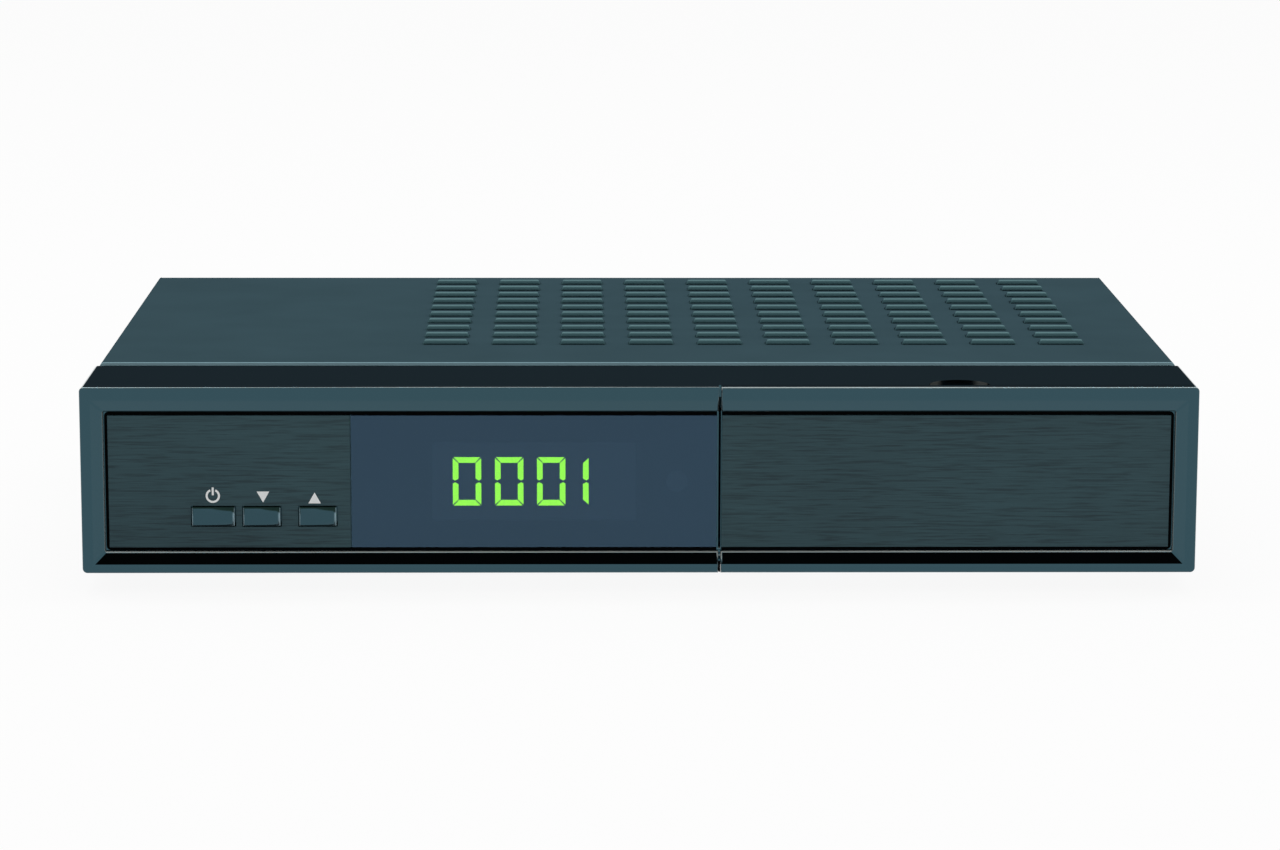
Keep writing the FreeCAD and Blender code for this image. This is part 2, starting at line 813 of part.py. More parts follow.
def make_bezel():
    """Plastic front moulding: a framed face on the left, a bay for the flap on the right, open behind."""
    bezel = new_body("front_bezel")
    pad(bezel, "XZ", (front, cover_front), rect(-half, half, base, top))
    round_edges(bezel, s.bezel_corner, lambda edge: along(edge, "y"))
    inside = half - s.bezel_wall
    cheek_left = bezel_end - s.cheek_gauge
    pocket(bezel, "XZ", (bay_rear, cover_front), rect(-inside, inside, base + s.bezel_wall, top - s.bezel_wall))
    pocket(bezel, "XZ", (wall_back, bay_rear),
           rect(-inside, cheek_left, base + s.bezel_wall, top - s.bezel_wall))
    pocket(bezel, "XZ", (front, bay_back), rect(bezel_end, inside, base + s.bezel_wall, top - s.bezel_wall))
    # Room for the flap: the whole face, then its side, then the sweep of its bottom edge
    pocket(bezel, "XZ", (front, front + s.door_lip + s.door_gap), rect(bezel_end, half, base, top))
    pocket(bezel, "XZ", (front, front + s.door_gauge + s.door_gap),
           rect(bezel_end, half, base, top - s.bezel_wall))
    sweep_back = hinge_y + s.hinge_rise + s.door_gap
    sweep_top = hinge_z - s.door_gap
    pocket(bezel, "XZ", (front, sweep_back), rect(bezel_end, half, base, sweep_top))
    # Bevelled frame and the seat of the inlays
    far = bezel_end + s.bevel_width
    rim = rect(-half + s.rim_side, far, base + s.rim_base, top - s.rim_top)
    seat = rect(-half + frame_side, far, base + frame_base, top - frame_top)
    loft(bezel, "Subtractive", "XZ", (front, rim), (front + s.bevel_depth, seat))
    pocket(bezel, "XZ", (front + s.bevel_depth, inlay_back), seat)
    # Windows in the wall behind the inlays
    module_half = s.display_width / 2 + s.panel_gap / 2
    module_tall = s.display_height / 2 + s.panel_gap / 2
    display = rect(display_x - module_half, display_x + module_half, display_z - module_tall,
                   display_z + module_tall)
    keys = [key_outline(name, s.key_clearance) for name in KEYS]
    eye = ((eye_x, display_z), s.eye_radius + s.key_clearance)
    pocket(bezel, "XZ", (inlay_back, wall_back), display, eye, *keys)
    # Card slot and socket mouth in the wall behind the flap
    pocket(bezel, "XZ", (bay_back, bay_rear), card_mouth(), data_mouth())
    # Tongue under the cover
    ring_low = floor_top + s.door_gap
    ring_top = top - s.slide_fit
    ring_inside = chassis_half - s.tongue_gauge
    ring = [
        (-chassis_half, ring_low),
        (-chassis_half, ring_top),
        (chassis_half, ring_top),
        (chassis_half, ring_low),
        (ring_inside, ring_low),
        (ring_inside, ring_top - s.tongue_gauge),
        (-ring_inside, ring_top - s.tongue_gauge),
        (-ring_inside, ring_low),
    ]
    pad(bezel, "XZ", (cover_front - s.tongue_length, cover_front + s.tongue_length), ring)
    # Bosses for the front board
    for x, z in boss_places:
        pad(bezel, "XZ", (wall_back, front_board_face), ((x, z), s.boss_radius))
        pocket(bezel, "XZ", (wall_back, front_board_face), ((x, z), hole_radius))
    # Hinge ear on the right wall and the two pin holes
    ear_left = inside - s.ear_width
    pad(bezel, "YZ", (ear_left, inside), ((hinge_y, hinge_z), s.knuckle_radius))
    pad(bezel, "YZ", (ear_left, inside),
        rect(hinge_y, sweep_back + s.ear_width, hinge_z, hinge_z + s.knuckle_radius))
    pin_hole = ((hinge_y, hinge_z), s.hinge_pin_radius + s.pin_fit)
    pocket(bezel, "YZ", (ear_left, inside), pin_hole)
    pocket(bezel, "YZ", (bezel_end - s.pin_reach - s.door_gap, bezel_end), pin_hole)
    # Finger scoop in the top edge, over the flap's middle
    scoop_centre = (bay_centre, front + s.door_lip + s.door_gap)
    pocket(bezel, "XY", (top - s.scoop_depth, top), (scoop_centre, s.scoop_radius))
    # Screws that come up through the bottom wall
    for x in bezel_screw_places:
        pocket(bezel, "XY", (base, base + s.bezel_wall), ((x, bezel_screw_depth), hole_radius))
        pocket(bezel, "XY", (base, bezel_screw_seat),
               ((x, bezel_screw_depth), s.screw_head_radius + s.door_gap))
    keep(bezel, "front_bezel")


bezel_screw_seat = base + s.screw_head_height + s.head_sink
reader_left = card_left + s.port_inset
reader_right = reader_left + s.reader_width
reader_front = bay_rear + s.key_clearance
card_z = board_top + s.reader_height / 2
data_x = card_right - s.port_inset - s.data_width / 2
data_z = board_top + s.data_height / 2


def card_mouth():
    """The outline of the smart card slot."""
    middle = (reader_left + reader_right) / 2
    across = s.card_width / 2 + s.key_clearance
    return rect(middle - across, middle + across, card_z - s.card_slot / 2, card_z + s.card_slot / 2)


def data_mouth():
    """The outline of the hole for the front socket."""
    across = s.data_width / 2 + s.key_clearance
    tall = s.data_height / 2 + s.key_clearance
    return rect(data_x - across, data_x + across, data_z - tall, data_z + tall)


def make_door():
    """Flap over the bay: its own part of the bevelled frame, two arms and the hinge pins."""
    door = new_body("front_door")
    body_top = top - s.bezel_wall - s.door_gap
    pad(door, "XZ", (front, front + s.door_lip), rect(door_left, half, base, top))
    pad(door, "XZ", (front + s.door_lip, front + s.door_gauge), rect(door_left, half, base, body_top))
    round_edges(door, s.bezel_corner, lambda edge: along(edge, "y") and near(edge.BoundBox.XMax, half))
    near_end = door_left - s.bevel_width
    rim = rect(near_end, half - s.rim_side, base + s.rim_base, top - s.rim_top)
    seat = rect(near_end, half - frame_side, base + frame_base, top - frame_top)
    loft(door, "Subtractive", "XZ", (front, rim), (front + s.bevel_depth, seat))
    pocket(door, "XZ", (front + s.bevel_depth, inlay_back), seat)
    # Groove that clears the hinge ear
    inside = half - s.bezel_wall
    ear_left = inside - s.ear_width
    clear = ((hinge_y, hinge_z), s.knuckle_radius + s.door_gap)
    pocket(door, "YZ", (ear_left - s.door_gap, inside + s.door_gap), clear)
    # Arms, knuckles and pins
    left_arm = door_left + s.arm_width / 2
    right_arm = ear_left - s.door_gap - s.arm_width
    knuckle = ((hinge_y, hinge_z), s.knuckle_radius)
    web = rect(front + s.door_gauge - s.panel_gauge, hinge_y, hinge_z - s.knuckle_radius,
               hinge_z + s.knuckle_radius)
    for start in (left_arm, right_arm):
        pad(door, "YZ", (start, start + s.arm_width), web)
        pad(door, "YZ", (start, start + s.arm_width), knuckle)
    pin = ((hinge_y, hinge_z), s.hinge_pin_radius)
    pad(door, "YZ", (bezel_end - s.pin_reach, left_arm), pin)
    pad(door, "YZ", (right_arm + s.arm_width, ear_left + s.pin_reach), pin)
    keep(door, "front_door")


def make_inlays():
    """Brushed plate and dark window on the left, brushed plate on the flap."""
    fascia = new_body("fascia_panel")
    keys = [key_outline(name, s.key_clearance) for name in KEYS]
    plate = rect(inlay_left, window_left - s.seam, inlay_low, inlay_high)
    pad(fascia, "XZ", (inlay_face, inlay_back), plate, *keys)
    keep(fascia, "fascia_panel")
    window = new_body("display_window")
    pad(window, "XZ", (inlay_face, inlay_back), rect(window_left, window_right, inlay_low, inlay_high))
    keep(window, "display_window")
    plate = new_body("door_panel")
    outline = rect(door_left + s.slide_fit * 2, half - frame_side - s.panel_gap, inlay_low, inlay_high)
    pad(plate, "XZ", (inlay_face, inlay_back), outline)
    keep(plate, "door_panel")


def make_keys():
    """Three key caps with a lip behind the wall, and the switches that they press."""
    switches = []
    for name in KEYS:
        cap = new_body(f"{name}_button")
        pad(cap, "XZ", (key_face, key_back), key_outline(name, 0.0))
        pad(cap, "XZ", (wall_back + s.key_clearance, key_back), key_outline(name, s.key_lip))
        bevel_edges(cap, s.key_bevel, lambda edge: near(edge.BoundBox.YMax, key_face))
        keep(cap, f"{name}_button")
        centre = KEYS[name][0]
        plunger_back = switch_face + s.switch_depth / 2
        plunger = rod(f"{name}_plunger", "Y", (centre, key_back, key_z), s.plunger_radius,
                      plunger_back - key_back)
        keep(plunger, f"{name}_plunger")
        block = box(f"{name}_switch_block", (centre - s.switch_width / 2, centre + s.switch_width / 2),
                    (switch_face, front_board_face), (key_z - s.switch_height / 2, key_z + s.switch_height / 2))
        well_depth = plunger_back + s.key_travel + s.key_clearance - switch_face
        well = rod(f"{name}_switch_well", "Y", (centre, switch_face, key_z), s.plunger_radius + s.plunger_fit,
                   well_depth)
        switches.append(cut(f"{name}_switch", block, well))
    keep(group("switches", *switches), "tact_switches")


def make_front_board():
    """Upright board behind the fascia with its display and remote control eye."""
    board = new_body("front_board")
    outline = rect(front_board_left, front_board_right, front_board_low, front_board_high)
    holes = [((x, z), hole_radius) for x, z in boss_places]
    pad(board, "XZ", (front_board_face, front_board_back), outline, *holes)
    keep(board, "front_board")
    module = box("display_module", (display_x - s.display_width / 2, display_x + s.display_width / 2),
                 (inlay_back + s.display_gap, front_board_face),
                 (display_z - s.display_height / 2, display_z + s.display_height / 2))
    keep(module, "led_display")
    eye_front = front_board_face - s.eye_depth
    case = box("eye_case", (eye_x - s.eye_width / 2, eye_x + s.eye_width / 2), (eye_front, front_board_face),
               (display_z - s.eye_height / 2, display_z + s.eye_height / 2))
    nose_front = inlay_back + s.display_gap
    nose = rod("eye_nose", "Y", (eye_x, nose_front, display_z), s.eye_radius, eye_front - nose_front)
    keep(fuse("eye", case, nose), "remote_eye")
    screws = [screw(f"front_board_screw_{index}", "Y", (x, front_board_back, z), -1)
              for index, (x, z) in enumerate(boss_places)]
    keep(group("front_board_screw_set", *screws), "front_board_screws")


def make_feet():
    """Four rubber feet under the tray."""
    feet = [rod(f"foot_{index}", "Z", (x, y, 0.0), s.foot_radius, floor_low)
            for index, (x, y) in enumerate(foot_places)]
    keep(group("foot_set", *feet), "rubber_feet")


def make_screws():
    """Screws of the case."""
    rear = [screw(f"cover_rear_screw_{index}", "Y", (x, back, upper_screw_height), -1)
            for index, x in enumerate(cover_screw_places)]
    sides = []
    for index, y in enumerate(side_screw_places):
        sides.append(screw(f"cover_left_screw_{index}", "X", (-cover_half, y, side_screw_height), 1))
        sides.append(screw(f"cover_right_screw_{index}", "X", (cover_half, y, side_screw_height), -1))
    keep(group("cover_screw_set", *rear, *sides), "cover_screws")
    lower = [screw(f"panel_screw_{index}", "Y", (x, back, lower_screw_height), -1)
             for index, x in enumerate(panel_screw_places)]
    keep(group("panel_screw_set", *lower), "rear_panel_screws")
    under = [screw(f"bezel_screw_{index}", "Z", (x, bezel_screw_depth, bezel_screw_seat), 1)
             for index, x in enumerate(bezel_screw_places)]
    keep(group("bezel_screw_set", *under), "bezel_screws")


def centred(x, width, z, height):
    """A rectangle given by its middle and its size."""
    return rect(x - width / 2, x + width / 2, z - height / 2, z + height / 2)


def make_rear_panel():
    """Steel rear panel with a hole for each socket."""
    panel = new_body("rear_panel")
    gap = s.port_hole_gap * 2
    edge = chassis_half - s.slide_fit
    outlines = [rect(-edge, edge, floor_top, top - s.slide_fit)]
    for x in lnb_places:
        outlines.append(((x, lnb_z), s.lnb_radius + s.port_hole_gap))
    for x, z in phono_places:
        outlines.append(((x, z), s.phono_radius + s.port_hole_gap))
    outlines.append(centred(video_x, s.video_width + gap, board_top + s.video_height / 2, s.video_height + gap))
    outlines.append(centred(network_x, s.network_width + gap, board_top + s.network_height / 2,
                            s.network_height + gap))
    outlines.append(centred(scart_x, s.scart_width + gap, board_top + s.scart_height, s.scart_height * 2 + gap))
    outlines.append(centred(inlet_x, s.inlet_width + gap, mains_z, s.inlet_height + gap))
    outlines.append(centred(rocker_x, s.rocker_frame_width + gap, mains_z, s.rocker_frame_height + gap))
    for x in panel_screw_places:
        outlines.append(((x, lower_screw_height), hole_radius))
    for x in cover_screw_places:
        outlines.append(((x, upper_screw_height), hole_radius))
    pad(panel, "XZ", (panel_inner, panel_outer), *outlines)
    keep(panel, "rear_panel")


def board(label, x, y, holes):
    """A circuit board on its standoffs."""
    item = new_body(label)
    pad(item, "XY", (board_low, board_top), rect(x[0], x[1], y[0], y[1]),
        *[(hole, s.bore_radius + s.screw_fit) for hole in holes])
    return keep(item, label)


def corner_places(x, y):
    """The places of four fixings near the corners of a board."""
    inset = s.standoff_inset
    return [(a, b) for a in (x[0] + inset, x[1] - inset) for b in (y[0] + inset, y[1] - inset)]


def make_boards():
    """Three boards, their standoffs and their screws."""
    outlines = {
        "main_board": ((main_left, main_right), (main_front, main_back)),
        "power_board": ((power_left, power_right), (power_front, power_back)),
        "card_board": ((card_left, card_right), (card_front, card_back)),
    }
    posts = []
    screws = []
    for label, (x, y) in outlines.items():
        places = corner_places(x, y)
        board(label, x, y, places)
        for index, (a, b) in enumerate(places):
            post = rod(f"{label}_post_{index}", "Z", (a, b, floor_top), s.standoff_radius, s.standoff_height)
            bore = rod(f"{label}_bore_{index}", "Z", (a, b, floor_top), s.bore_radius + s.screw_fit,
                       s.standoff_height)
            posts.append(cut(f"{label}_standoff_{index}", post, bore))
            head = rod(f"{label}_head_{index}", "Z", (a, b, board_top), s.board_screw_head_radius,
                       s.screw_head_height)
            shank = rod(f"{label}_shank_{index}", "Z", (a, b, board_top - s.screw_length), s.bore_radius,
                        s.screw_length)
            screws.append(fuse(f"{label}_screw_{index}", head, shank))
    keep(group("standoff_set", *posts), "board_standoffs")
    keep(group("board_screw_set", *screws), "board_screws")
    sheet_x = (power_left, power_right)
    sheet_y = (power_front, power_back)
    film = new_body("insulating_sheet")
    holes = [(hole, s.standoff_radius + s.door_gap) for hole in corner_places(sheet_x, sheet_y)]
    pad(film, "XY", (floor_top, floor_top + s.insulator_gauge), rect(*sheet_x, *sheet_y), *holes)
    keep(film, "insulating_sheet")


def make_tuner():
    """Screened tuner can with two threaded aerial sockets and their nuts."""
    can_back = panel_inner - s.panel_clearance
    can = box("tuner_box", (tuner_x - s.tuner_width / 2, tuner_x + s.tuner_width / 2),
              (can_back - s.tuner_depth, can_back), (board_top, board_top + s.tuner_height))
    keep(can, "tuner_can")
    tip = back + s.port_reach
    nuts = []
    for label, x in zip(("lnb_output", "lnb_input"), lnb_places):
        neck_end = panel_outer + s.nut_gauge + s.neck_reach
        neck = rod(f"{label}_neck", "Y", (x, can_back, lnb_z), s.lnb_radius - s.neck_relief,
                   neck_end - can_back)
        thread = rod(f"{label}_barrel", "Y", (x, neck_end, lnb_z), s.lnb_radius, tip - neck_end)
        barrel = fuse(f"{label}_whole", neck, thread)
        bore = rod(f"{label}_bore", "Y", (x, tip - s.nut_across, lnb_z), s.lnb_bore, s.nut_across)
        keep(cut(f"{label}_socket_cut", barrel, bore), f"{label}_socket")
        flats = prism(f"{label}_flats", "Y", (x, panel_outer, lnb_z), s.nut_across, s.nut_gauge)
        bore = rod(f"{label}_nut_bore", "Y", (x, panel_outer, lnb_z), s.lnb_radius + s.pin_fit, s.nut_gauge)
        nuts.append(cut(f"{label}_nut", flats, bore))
    keep(group("nut_set", *nuts), "lnb_nuts")


def make_sockets():
    """Sockets that stand on the main board and look out of the rear panel."""
    video_low = socket_face - s.video_depth
    shell = box("video_shell", (video_x - s.video_width / 2, video_x + s.video_width / 2),
                (video_low, socket_face),
                (board_top, board_top + s.video_height))
    middle = board_top + s.video_height / 2
    mouth_half = s.video_width / 2 - s.socket_proud
    mouth_tall = s.video_height / 2 - s.socket_proud
    mouth = box("video_mouth", (video_x - mouth_half, video_x + mouth_half),
                (video_low + s.video_floor, socket_face),
                (middle - mouth_tall, middle + mouth_tall))
    tongue = box("video_tongue", (video_x - s.video_tongue_width / 2, video_x + s.video_tongue_width / 2),
                 (video_low + s.video_floor / 2, socket_face - s.tongue_setback),
                 (middle - s.video_tongue / 2, middle + s.video_tongue / 2))
    keep(fuse("video", cut("video_case", shell, mouth), tongue), "video_socket")
    net_low = socket_face - s.network_depth
    shell = box("network_shell", (network_x - s.network_width / 2, network_x + s.network_width / 2),
                (net_low, socket_face), (board_top, board_top + s.network_height))
    mouth_low = board_top + s.network_mouth_rise
    mouth = box("network_mouth", (network_x - s.network_mouth_width / 2, network_x + s.network_mouth_width / 2),
                (net_low + s.network_floor, socket_face), (mouth_low, mouth_low + s.network_mouth_height))
    keep(cut("network", shell, mouth), "network_socket")
    block_back = panel_inner - s.port_hole_gap
    block = box("phono_box", (phono_x - s.phono_block_width / 2, phono_x + s.phono_block_width / 2),
                (block_back - s.phono_block_depth, block_back), (board_top, board_top + s.phono_block_height))
    tip = panel_outer + s.phono_reach
    neck_end = panel_outer + s.neck_reach
    barrels = []
    bores = []
    for index, (x, z) in enumerate(phono_places):
        barrels.append(rod(f"phono_neck_{index}", "Y", (x, block_back, z), s.phono_radius - s.neck_relief,
                           neck_end - block_back))
        barrels.append(rod(f"phono_barrel_{index}", "Y", (x, neck_end, z), s.phono_radius, tip - neck_end))
        bores.append(rod(f"phono_bore_{index}", "Y", (x, block_back, z), s.phono_bore, tip - block_back))
    keep(cut("phono", fuse("phono_solid", block, *barrels), *bores), "phono_sockets")
    for label, low in (("vcr_scart_socket", board_top), ("tv_scart_socket", board_top + s.scart_height)):
        keep(scart(label, low), label)


def scart(label, low):
    """A 21-pin socket: a shell with a recess round its contact block."""
    face = socket_face
    shell = box(f"{label}_shell", (scart_x - s.scart_width / 2, scart_x + s.scart_width / 2),
                (face - s.scart_depth, face), (low, low + s.scart_height))
    inner_half = s.scart_width / 2 - s.scart_wall
    recess = box(f"{label}_recess", (scart_x - inner_half, scart_x + inner_half), (face - s.scart_recess, face),
                 (low + s.scart_wall, low + s.scart_height - s.scart_wall))
    middle = low + s.scart_height / 2
    block = box(f"{label}_block", (scart_x - s.scart_block_width / 2, scart_x + s.scart_block_width / 2),
                (face - s.scart_recess - s.scart_wall / 2, face - s.scart_block_setback),
                (middle - s.scart_block_height / 2, middle + s.scart_block_height / 2))
    return fuse(f"{label}_whole", cut(f"{label}_case", shell, recess), block)


def make_mains():
    """Mains inlet for a figure-eight plug, and the mains switch."""
    lip = s.flange_lip
    body_low = panel_outer - s.inlet_depth
    flange = box("inlet_flange", (inlet_x - s.inlet_width / 2 - lip, inlet_x + s.inlet_width / 2 + lip),
                 (panel_outer, panel_outer + s.flange_gauge),
                 (mains_z - s.inlet_height / 2 - lip, mains_z + s.inlet_height / 2 + lip))
    body = box("inlet_body", (inlet_x - s.inlet_width / 2, inlet_x + s.inlet_width / 2),
               (body_low, panel_outer),
               (mains_z - s.inlet_height / 2, mains_z + s.inlet_height / 2))
    face = panel_outer + s.flange_gauge
    mouth_radius = s.inlet_mouth_height / 2
    mouth_side = s.inlet_mouth_width / 2 - mouth_radius
    bottom = face - s.inlet_recess
    tools = [box("inlet_slot", (inlet_x - mouth_side, inlet_x + mouth_side), (bottom, face),
                 (mains_z - mouth_radius, mains_z + mouth_radius))]
    for index, x in enumerate((inlet_x - mouth_side, inlet_x + mouth_side)):
        tools.append(rod(f"inlet_round_{index}", "Y", (x, bottom, mains_z), mouth_radius, s.inlet_recess))
    shell = cut("inlet_case", fuse("inlet_solid", flange, body), *tools)
    pins = [rod(f"inlet_pin_{index}", "Y", (x, bottom - s.flange_lip, mains_z), s.inlet_pin_radius,
                s.inlet_pin_length + s.flange_lip)
            for index, x in enumerate((inlet_x - s.inlet_pin_pitch / 2, inlet_x + s.inlet_pin_pitch / 2))]
    keep(fuse("inlet", shell, *pins), "mains_inlet")
    # Switch frame, then the rocker on its pins
    across = s.rocker_frame_width / 2
    tall = s.rocker_frame_height / 2
    flange = box("switch_flange", (rocker_x - across - lip, rocker_x + across + lip),
                 (panel_outer, panel_outer + s.flange_gauge), (mains_z - tall - lip, mains_z + tall + lip))
    body = box("switch_body", (rocker_x - across, rocker_x + across),
               (panel_outer - s.rocker_body_depth, panel_outer),
               (mains_z - tall, mains_z + tall))
    well_half = s.rocker_width / 2 + s.rocker_gap
    well_tall = s.rocker_half_length + s.rocker_sweep
    pivot_y = panel_outer
    well = box("switch_well", (rocker_x - well_half, rocker_x + well_half),
               (pivot_y - s.rocker_depth, face), (mains_z - well_tall, mains_z + well_tall))
    pin_half = well_half + s.rocker_pin_reach
    bearing = rod("switch_bearing", "X", (rocker_x - pin_half - s.rocker_gap, pivot_y, mains_z),
                  s.rocker_pin_radius + s.pin_fit, (pin_half + s.rocker_gap) * 2)
    keep(cut("switch_frame", fuse("switch_solid", flange, body), well, bearing), "mains_switch_frame")
    rocker = new_body("mains_rocker")
    profile = [
        (as_size(0.0) - s.rocker_heel, -s.rocker_half_length / 2),
        (as_size(0.0), -s.rocker_half_length),
        (s.rocker_end, -s.rocker_half_length),
        (s.rocker_dip, as_size(0.0)),
        (s.rocker_end, s.rocker_half_length),
        (as_size(0.0), s.rocker_half_length),
        (as_size(0.0) - s.rocker_heel, s.rocker_half_length / 2),
    ]
    pad(rocker, "YZ", (-s.rocker_width / 2, s.rocker_width / 2), profile)
    pad(rocker, "YZ", (-pin_half, pin_half), ((as_size(0.0), as_size(0.0)), s.rocker_pin_radius))
    rocker.Placement = FreeCAD.Placement(FreeCAD.Vector(),
                                         FreeCAD.Rotation(FreeCAD.Vector(1, 0, 0), float(s.rocker_tilt)))
    bind(rocker, "Placement.Rotation.Angle", s.rocker_tilt)
    for letter, length in zip("xyz", (rocker_x, pivot_y, mains_z)):
        bind(rocker, f"Placement.Base.{letter}", length)
    keep(rocker, "mains_rocker")


def make_card_reader():
    """Card reader with its slot, and the front socket beside it."""
    shell = box("reader_box", (reader_left, reader_right), (reader_front, reader_front + s.reader_depth),
                (board_top, board_top + s.reader_height))
    middle = (reader_left + reader_right) / 2
    slot = box("reader_slot", (middle - s.card_width / 2, middle + s.card_width / 2),
               (reader_front, reader_front + s.card_slot_depth),
               (card_z - s.card_slot / 2, card_z + s.card_slot / 2))
    keep(cut("reader", shell, slot), "card_reader")
    wall = s.data_shell
    shell = box("data_box", (data_x - s.data_width / 2, data_x + s.data_width / 2),
                (bay_back, bay_back + s.data_depth),
                (board_top, board_top + s.data_height))
    mouth = box("data_mouth_box", (data_x - s.data_width / 2 + wall, data_x + s.data_width / 2 - wall),
                (bay_back, bay_back + s.data_depth - s.data_floor),
                (board_top + wall, board_top + s.data_height - wall))
    tongue = box("data_tongue", (data_x - s.data_width / 2 + wall * 2, data_x + s.data_width / 2 - wall * 2),
                 (bay_back + s.tongue_setback, bay_back + s.data_depth - s.data_floor / 2),
                 (data_z + wall / 2, data_z + wall / 2 + s.data_tongue))
    keep(fuse("data", cut("data_case", shell, mouth), tongue), "data_socket")


def make_main_parts():
    """Processor with its finned sink, memory and small capacitors on the main board."""
    chip_x = (main_left + main_right) / 2 - s.chip_place
    chip_y = main_front + s.chip_front
    chip_top = board_top + s.chip_height
    half_chip = s.chip_width / 2
    keep(box("chip", (chip_x - half_chip, chip_x + half_chip), (chip_y - half_chip, chip_y + half_chip),
             (board_top, chip_top)), "processor")
    sink = new_body("heat_sink")
    half_sink = s.sink_width / 2
    pad(sink, "XY", (chip_top, chip_top + s.sink_base),
        rect(chip_x - half_sink, chip_x + half_sink, chip_y - half_sink, chip_y + half_sink))
    fin = pad(sink, "XY", (chip_top + s.sink_base, chip_top + s.sink_base + s.fin_height),
              rect(chip_x - half_sink, chip_x - half_sink + s.fin_gauge, chip_y - half_sink,
                   chip_y + half_sink))
    pattern(sink, fin, "X", copies_that_fit(s.sink_width - s.fin_gauge, s.fin_pitch), s.fin_pitch)
    keep(sink, "heat_sink")
    chips = []
    for index in range(MEMORY_CHIPS):
        low_x = chip_x + half_sink + s.memory_gap + (s.memory_width + s.part_gap) * index
        chips.append(box(f"memory_{index}", (low_x, low_x + s.memory_width),
                         (chip_y - s.memory_length / 2, chip_y + s.memory_length / 2),
                         (board_top, board_top + s.memory_height)))
    keep(group("memory_set", *chips), "memory_chips")
    cans = []
    for index in range(MAIN_CANS):
        can_y = chip_y + s.can_pitch * (index - (MAIN_CANS - 1) / 2)
        cans.append(rod(f"can_{index}", "Z", (chip_x - half_sink - s.can_gap, can_y, board_top), s.can_radius,
                        s.can_height))
    keep(group("can_set", *cans), "main_capacitors")


def make_power_parts():
    """Fuse, choke, reservoir, transformer, sink and output capacitors on the power board."""
    column = power_left + s.power_column
    fuse_x = power_right - s.fuse_place
    fuse_low = power_back - s.fuse_back - s.fuse_length
    keep(rod("fuse_tube", "Y", (fuse_x, fuse_low, board_top + s.fuse_radius), s.fuse_radius, s.fuse_length),
         "mains_fuse")
    choke_back = power_back - s.choke_back
    keep(box("choke", (column - s.choke_width / 2, column + s.choke_width / 2),
             (choke_back - s.choke_width, choke_back),
             (board_top, board_top + s.choke_height)), "mains_choke")
    bulk_y = choke_back - s.choke_width - s.bulk_gap - s.bulk_radius
    keep(rod("bulk", "Z", (column, bulk_y, board_top), s.bulk_radius, s.bulk_height), "reservoir_capacitor")
    core_back = bulk_y - s.bulk_radius - s.part_gap
    make_transformer(column, core_back - s.core_depth / 2)
    sink_x = column + s.core_width / 2 + s.sink_gap
    keep(box("power_sink", (sink_x, sink_x + s.power_sink_gauge), (core_back, core_back + s.power_sink_length),
             (board_top, board_top + s.power_sink_height)), "power_heat_sink")
    can_y = core_back - s.core_depth - s.can_gap
    cans = [rod(f"output_can_{index}", "Z", (column + s.can_pitch * index, can_y, board_top), s.can_radius,
                s.can_height)
            for index in range(OUTPUT_CANS)]
    keep(group("output_can_set", *cans), "output_capacitors")


def make_transformer(x, y):
    """Ferrite core with its winding round the middle limb."""
    outer = box("core_outer", (x - s.core_width / 2, x + s.core_width / 2),
                (y - s.core_depth / 2, y + s.core_depth / 2),
                (board_top, board_top + s.core_height))
    inside = s.core_width / 2 - s.core_limb / 2
    limb = s.core_limb / 2
    windows = []
    for index, (low, high) in enumerate(((x - inside, x - limb), (x + limb, x + inside))):
        windows.append(box(f"core_window_{index}", (low, high), (y - s.core_depth / 2, y + s.core_depth / 2),
                           (board_top + limb, board_top + s.core_height - limb)))
    keep(cut("core", outer, *windows), "transformer_core")
    gap = s.winding_gap
    reach = s.core_depth / 2 + s.core_limb / 2
    bobbin = box("coil_outer", (x - inside + gap, x + inside - gap), (y - reach, y + reach),
                 (board_top + limb + gap, board_top + s.core_height - limb - gap))
    bore = box("coil_bore", (x - limb, x + limb), (y - s.core_depth / 2, y + s.core_depth / 2),
               (board_top + limb + gap, board_top + s.core_height - limb - gap))
    keep(cut("coil", bobbin, bore), "transformer_winding")


def route(points, bend):
    """A path of straight runs with a round bend at each inner point."""
    corners = [FreeCAD.Vector(*[float(value) for value in point]) for point in points]
    edges = []
    start = corners[0]
    for before, corner, after in zip(corners, corners[1:], corners[2:]):
        into = (corner - before).normalize()
        out = (after - corner).normalize()
        setback = bend * math.tan(into.getAngle(out) / 2)
        bend_start = corner - into * setback
        bend_end = corner + out * setback
        inward = (out - into).normalize()
        centre = corner + inward * (bend / math.cos(into.getAngle(out) / 2))
        middle = centre - inward * bend
        edges.append(Part.LineSegment(start, bend_start).toShape())
        edges.append(Part.Arc(bend_start, middle, bend_end).toShape())
        start = bend_end
    edges.append(Part.LineSegment(start, corners[-1]).toShape())
    return Part.Wire(edges)


def lead(name, points):
    """An insulated lead along a route; its volume is compared with section times length."""
    path = route(points, float(s.lead_bend))
    radius = float(s.lead_radius)
    start = path.Edges[0].Vertexes[0].Point
    ring = Part.Wire([Part.makeCircle(radius, start, path.Edges[0].tangentAt(path.Edges[0].FirstParameter))])
    solid = path.makePipeShell([ring], True, False)
    expected = math.pi * radius ** 2 * path.Length
    print(f"{name}: volume ratio {solid.Volume / expected:.4f}, bend {float(s.lead_bend):.1f} mm")
    item = document.addObject("Part::Feature", name)
    item.Shape = solid
    return item


def header(name, x, y):
    """A lead's plug on a floor board."""
    return box(name, (x - s.header_width / 2, x + s.header_width / 2),
               (y - s.header_depth / 2, y + s.header_depth / 2),
               (board_top, board_top + s.header_height))


